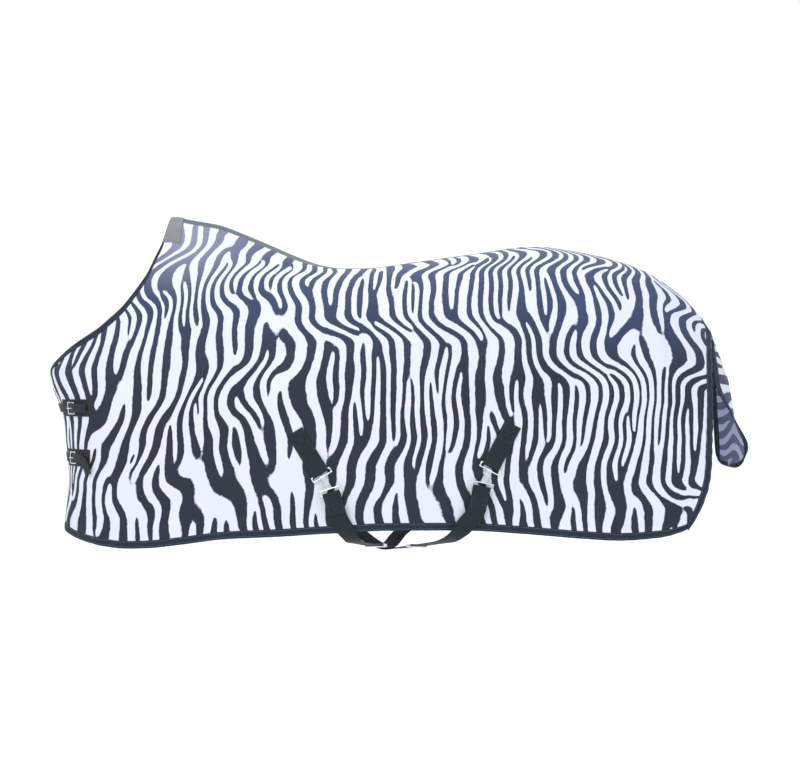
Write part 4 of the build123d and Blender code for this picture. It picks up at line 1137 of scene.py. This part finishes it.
def clip_frame(name):
    top, bar, low_angle = HOOKS[name]
    yb = -(float(surf(bar[0], bar[1])) + 8.5)
    yt = -(float(surf(top[0], top[1])) + 2.8)
    C = np.array([bar[0], yb, bar[1]])
    T = np.array([top[0], yt, top[1]])
    up = unit(T - C)
    flat = unit([-up[2], 0, up[0]]) * -1.0
    if flat[0] < 0:
        flat = -flat
    mid = (T + C) / 2
    dy = float(surf(mid[0] + 20 * flat[0], mid[2] + 20 * flat[2])
               - surf(mid[0] - 20 * flat[0], mid[2] - 20 * flat[2])) / 40
    ex = np.array([flat[0], -dy, flat[2]])
    ex = unit(ex - up * np.dot(ex, up))
    loc = Local(C, ex, up)
    L = float(np.linalg.norm(T - C))
    ri, ro = WIRE_R + 0.45, WIRE_R + 2.9
    yn = -(ri + ro) / 2
    a = math.radians(low_angle)
    # turn about the local Y axis, as the lower frame of the hook is set
    R = np.array([[math.cos(a), 0, math.sin(a)], [0, 1, 0], [-math.sin(a), 0, math.cos(a)]])
    low = Local((0, 0, 0), (1, 0, 0), (0, 0, 1))
    low.o = loc((0, yn, -NECK_DROP))
    low.M = loc.M @ R
    end = Local((0, 0, 0), (1, 0, 0), (0, 0, 1))
    end.o = low((0, 0, -LOW_GAP))
    end.M = low.M @ np.diag([1.0, -1.0, -1.0])
    e = low((0, 0, -LOW_GAP - END_LEN))
    d = low.dir((0, 0, -1.0))
    w = low.dir((1.0, 0, 0))
    return dict(C=C, loc=loc, L=L, low=low, endf=end, end=e, down=unit(d), wide=unit(w), up=up)


def side_y(x, z, off):
    return float(surf(x, z)) + off


def belly_path(name, near, run_a, run_b, far):
    c = CLIPS[name]
    start = c["end"] + c["down"] * 0.6
    out0 = np.cross(c["wide"], c["down"])
    if out0[1] > 0:
        out0 = -out0
    ctrl = [start] + near + [run_a, run_b] + far
    down = (0, -0.18, -1)
    norm = [out0]
    for p in near:
        k = float(smooth(-850, -905, p[2]))
        norm.append((0, -1 + 0.82 * k, -k))
    norm += [down, down]
    for p in far:
        if p[1] < 230:
            norm.append((0, 0.1, -1))
        elif p[2] < -885:
            norm.append((0, 0.65, -0.75))
        else:
            norm.append((0, 1, -0.05))
    return blend_path(ctrl, norm, 1 + len(near), t0=c["down"])


for nm in ("front", "rear"):
    CLIPS[nm] = clip_frame(nm)
ys = lambda x, z, o: -(side_y(x, z, o))
ROUTES = {
    "front": ([(497, ys(497, -866, 9.5), -868), (512, -300, -895)], (532, -240, -914), (599, -62, -946),
              [(611, -5, -949.5), (620, 60, -948), (640, 160, -934), (668, 240, -918),
               (700, 296, -902), (735, side_y(735, -862, 8), -868), (790, side_y(790, -790, 3), -785),
               (860, side_y(860, -690, 3), -690), (905, side_y(905, -628, 3), -628)]),
    "rear": ([(822, ys(822, -852, 10.5), -852), (796, -308, -885)], (745, -240, -914), (654, -66, -948),
             [(616, -12, -957), (590, 45, -957), (560, 110, -950), (525, 190, -934),
              (492, 255, -918), (465, 296, -902), (440, side_y(440, -862, 10), -868),
              (405, side_y(405, -780, 4.5), -780), (375, side_y(375, -690, 4.5), -690),
              (352, side_y(352, -625, 4), -625)])}


def densify(P, N, step=6.0):
    s = np.concatenate([[0], np.cumsum(np.linalg.norm(np.diff(P, axis=0), axis=1))])
    q = np.linspace(0, s[-1], max(4, int(s[-1] / step)))
    Pd = np.stack([curve(s, P[:, k])(q) for k in range(3)], axis=1)
    # light smoothing takes out the corners between the stations
    for _ in range(3):
        Pd[1:-1] = 0.25 * Pd[:-2] + 0.5 * Pd[1:-1] + 0.25 * Pd[2:]
    Nd = np.stack([np.interp(q, s, N[:, k]) for k in range(3)], axis=1)
    for _ in range(4):
        Nd[1:-1] = 0.25 * Nd[:-2] + 0.5 * Nd[1:-1] + 0.25 * Nd[2:]
    return Pd, Nd, q


for nm in ("front", "rear"):
    c = CLIPS[nm]
    hook = nm + "_hook"
    a = fold_band(nm + "_upper_strap", Local(c["loc"]((0, 0, BAR_GAP)), c["loc"].M[:, 0], c["up"]),
                  WIRE_R + 0.3, WEB_T * 0.86, 26, c["L"] - BAR_GAP, WEB_W, M_WEBST)
    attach(a, "root")
    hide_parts(nm + "_anchor_strap")
    top = Local(c["loc"]((0, 0, BAR_GAP)), c["loc"].M[:, 0], c["up"])
    box_stitch(nm + "_upper_stitching", top, HALF - 5, c["L"] - BAR_GAP - 50, c["L"] - BAR_GAP - 5,
               -WEB_T * 0.86 - 0.05, "root")
    # lower strap: the fold on the hook and the long strap under the belly, one piece
    e = fold_band(nm + "_strap_fold", c["endf"], WIRE_R + 0.3, WEB_T * 0.86, 26, END_LEN, WEB_W, M_WEBST)
    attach(e, hook)
    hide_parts(nm + "_strap_end")
    st = Local(c["endf"].o, c["endf"].M[:, 0], c["endf"].M[:, 2])
    st.M = c["endf"].M @ np.diag([1.0, -1.0, 1.0])
    box_stitch(nm + "_lower_stitching", st, HALF - 5, 30, END_LEN - 4, -WEB_T * 0.86 - 0.05, hook)
    P, N, T = belly_path(nm, *ROUTES[nm])
    # start inside the sewn fold, so that the two make one strap
    lead = [c["end"] - c["down"] * q for q in (20.0, 8.0)]
    P = np.concatenate([lead, P])
    N = np.concatenate([[N[0], N[0]], N])
    Pd, Nd, q = densify(P, N)
    b = band(nm + "_belly_webbing", Pd, Nd, frames(Pd), WEB_W, WEB_T * 0.9, M_WEB)
    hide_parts(nm + "_belly_strap")
    across = c["down"] + np.array([0, 1.0, 0])      # a point off the strap's end; nothing below uses it
    s1 = (c["end"] + across / np.linalg.norm(across) * 170) * 0.001
    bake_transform(b)
    Lb = q[-1] * 0.001
    SHEETS[nm] = (b, None, Lb)

# ---------------------------------------------------------------------------
# chest: pads, chapes and straps
# ---------------------------------------------------------------------------
BK_RISE, BK_LEN = 8.0, 26.0


def chest_webbing(name, z, x_at, tail_s, droop):
    phi = math.acos(x_at / float(front_x(z)))
    o, t, n = chest_point(phi, z)
    wz = unit(np.cross(n, t))
    if wz[2] < 0:
        wz = -wz
    P, N, T = [], [], []
    for p in np.linspace(phi - 0.265, phi + 0.225, 40):
        c, tp, nn = chest_point(p, z, 1.5)
        P.append(c), N.append(nn), T.append(tp)
    pad = band("chest_pad_" + name, P, N, T, 49, 1.7, M_BILLET)
    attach(pad, "left_flap")
    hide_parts("chest_patch_" + name)
    heel = o + n * BK_RISE
    loc = Local(heel, wz, t)
    out = 1.0 if np.dot(loc.M[:, 1], n) > 0 else -1.0
    # chape: two narrow plies round the heel bar either side of the prong, one sewn ply behind
    made = []
    for k, xc in enumerate((-8.0, 8.0)):
        made.append(fold_band("chape_%s_%d" % (name, k), loc, 1.9, 1.35, 18, 34, 9.0, M_BILLET, xc=xc))
    zz_ = np.linspace(11, 34.2, 10)
    spread = np.interp(zz_, [0, 18, 40], [2.6, 0.05, 0.0])
    for k, sg in enumerate((-1, 1)):
        Pm = np.stack([0 * zz_, sg * (spread + 0.68), zz_], axis=1)
        Nm = np.tile([0, sg * 1.0, 0], (10, 1))
        made.append(band("chape_%s_%d" % (name, k + 2), loc(Pm), loc.dir(Nm), loc.dir(frames(Pm)), 8.4, 1.3,
                         M_BILLET))
    for m_ in made:
        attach(m_, "left_flap")
        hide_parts("buckle_chape_" + name)
    # strap
    table = [(-0.80, 1.35), (-0.70, 0.5), (-0.60, -1.0), (-0.50, -2.6), (-0.42, -3.9),
             (-0.36, -2.0), (-0.30, 1.8), (-0.25, 3.0), (0.0, 3.2), (0.22, 3.4)]
    off = curve([a_ for a_, b_ in table], [b_ for a_, b_ in table])
    P, N = [], []
    for p in np.concatenate([np.linspace(-0.80, -0.25, 15), np.linspace(-0.15, 0.22, 5)]):
        c, tp, nn = chest_point(p, z, float(off(p)))
        P.append(c), N.append(nn)
    a0, a1 = chest_point(phi - 1e-3, z)[0], chest_point(phi + 1e-3, z)[0]
    rate = float(np.linalg.norm(a1 - a0)) / 2e-3
    last = P[-1]
    for s_, h_ in ((-74, 4.8), (-58, 5.3), (-46, 5.5), (-36, 5.2), (-29, 4.7), (-22, 5.0), (-15, 8.0),
                   (-9, 11.4), (-3, 13.4), (3, 13.8), (9, 13.5), (18, 13.2)):
        if s_ < -30:
            c, tp, nn = chest_point(phi + s_ / rate, z, h_)
        else:
            c, nn = o + t * s_ + n * h_, n
        if np.dot(c - last, t) > 5:
            P.append(c), N.append(nn)
    ends = ((29, 0, 14.0), (38, -3, 13.8), (46, -10, 13.4), (52, -20, 12.8), (55, -32, 11.6),
            (57, -44, 9.6)) if droop else ((29, 0, 14.4), (40, 0, 13.6), (tail_s, 0, 11.4))
    for s_, dz, h_ in ends:
        c, tp, nn = chest_point(phi + s_ / rate, z + dz, h_)
        P.append(c), N.append(nn)
    P, N = np.array(P), np.array(N)
    s = np.concatenate([[0], np.cumsum(np.linalg.norm(np.diff(P, axis=0), axis=1))])
    q = np.linspace(0, s[-1], int(s[-1] / 2.5))
    Pd = np.stack([curve(s, P[:, k])(q) for k in range(3)], axis=1)
    Nd = np.stack([np.interp(q, s, N[:, k]) for k in range(3)], axis=1)
    for _ in range(2):
        Nd[1:-1] = 0.25 * Nd[:-2] + 0.5 * Nd[1:-1] + 0.25 * Nd[2:]
    along = (Pd - o) @ t
    idx = np.where((along > -14.5) & (along < 2.5) & (np.linalg.norm(Pd - o, axis=1) < 40))[0]
    st = band("chest_billet_" + name, Pd, Nd, frames(Pd), BILLET_W, 1.7, M_BILLET,
              slot=(int(idx[0]), int(idx[-1]), 2.2))
    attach(st, "right_flap")
    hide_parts("chest_strap_" + name)
    # eyelets for the other holes
    V_, F_, U_ = [], [], []
    for k in (1, 2, 3):
        c, tp, nn = chest_point(0.22 - 0.11 * k, z, 3.4)
        fr = Local(c, unit(np.cross(tp, nn)), nn)
        i = len(V_)
        prof = [(3.6, 0.75), (3.3, 1.15), (2.6, 1.2), (2.2, 0.9), (2.1, -0.4)]
        nq = 20
        for j in range(nq):
            a_ = 2 * math.pi * j / nq
            for r_, h_ in prof:
                V_.append(fr((r_ * math.cos(a_), r_ * math.sin(a_), h_)))
                U_.append((r_ * a_ * 0.001, h_ * 0.001))
        for j in range(nq):
            for g in range(len(prof) - 1):
                j1 = (j + 1) % nq
                F_.append([i + j * 5 + g, i + j1 * 5 + g, i + j1 * 5 + g + 1, i + j * 5 + g + 1])
    ey = new_mesh("eyelets_" + name, np.array(V_), np.array(F_), M_STEEL, np.array(U_))
    bm_fix(ey)
    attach(ey, "right_flap")
    return o, t, n


chest_webbing("upper", -548.0, -264.0, 50.0, False)
chest_webbing("lower", -688.0, -261.0, 50.0, True)

# ---------------------------------------------------------------------------
# metal parts keep their CAD shape and get the plated wire finish
# ---------------------------------------------------------------------------
for nname, ob in NODES.items():
    if any(k in nname for k in ("wire_loop", "_hook", "_slide", "buckle_frame", "buckle_prong")):
        ob.data.materials.clear()
        ob.data.materials.append(M_STEEL)

# ---------------------------------------------------------------------------
# the two cloth sheets with their areas, looked up; nothing more is done with them here
# ---------------------------------------------------------------------------
for name in ("left", "right"):
    ob, area, tapes = SHEETS[name]

# ---------------------------------------------------------------------------
# floor, light and camera
# ---------------------------------------------------------------------------
def plain(name, colour, rough):
    m = Mat(name)
    co = m.n("TexCoord").outputs["Object"]
    f = m.noise(co, 3.0, 2.0)
    col = m.mix(m.remap(f, 0.3, 0.7), colour, tuple(c * 0.985 for c in colour))
    m.put(Base_Color=col, Roughness=m.remap(f, 0.3, 0.7, rough, rough + 0.05))
    m.put(Emission_Color=colour, Emission_Strength=0.09)
    return m.m


M_FLOOR = plain("pale_floor", (0.93, 0.93, 0.93), 0.8)
FLOOR_Z = -1.62
prof = [(-14.0, FLOOR_Z), (3.2, FLOOR_Z)]
prof += [(3.2 + 1.8 * math.sin(a), FLOOR_Z + 1.8 * (1 - math.cos(a))) for a in np.linspace(0.08, math.pi / 2, 18)]
prof += [(5.0, 12.0)]
V_, F_ = [], []
for y_, z_ in prof:
    V_ += [(-16000.0, y_ * 1000, z_ * 1000), (17000.0, y_ * 1000, z_ * 1000)]
for i in range(len(prof) - 1):
    F_.append([2 * i, 2 * i + 1, 2 * i + 3, 2 * i + 2])
floor = new_mesh("studio_floor", np.array(V_), np.array(F_), M_FLOOR)


def area_light(name, loc, aim, size, power, colour=(1, 1, 1)):
    l = bpy.data.lights.new(name, "AREA")
    l.shape = "RECTANGLE"
    l.size, l.size_y = size
    l.energy = power
    l.color = colour
    o = bpy.data.objects.new(name, l)
    o.location = loc
    from mathutils import Vector
    o.rotation_euler = (Vector(aim) - Vector(loc)).to_track_quat("-Z", "Y").to_euler()
    bpy.context.scene.collection.objects.link(o)
    return o


area_light("key", (-1.7, -3.4, 2.6), (0.5, 0, -0.4), (3.2, 2.4), 105, (1.0, 0.99, 0.98))
area_light("fill", (3.4, -3.6, 0.6), (0.7, 0, -0.5), (3.0, 3.0), 42, (0.96, 0.98, 1.0))
area_light("top", (0.7, 0.6, 3.2), (0.7, 0, -0.4), (3.4, 2.4), 60, (0.97, 0.985, 1.0))
area_light("back", (0.7, 3.6, 1.8), (0.7, 0, -0.4), (3.6, 2.0), 35)

world = bpy.data.worlds.new("studio")
bpy.context.scene.world = world
world.use_nodes = True
bg = world.node_tree.nodes["Background"]
bg.inputs[0].default_value = (0.97, 0.98, 1.0, 1)
bg.inputs[1].default_value = 0.80

cam = bpy.data.cameras.new("camera")
cam.sensor_width = 36.0
cam.lens = 1379.31 * 36.0 / 800.0
cam.clip_end = 60
camo = bpy.data.objects.new("camera", cam)
camo.location = (0.6438, -4.0, -0.4756)
camo.rotation_euler = (math.pi / 2, 0, 0)
bpy.context.scene.collection.objects.link(camo)
bpy.context.scene.camera = camo
bpy.context.scene.view_settings.view_transform = "Standard"
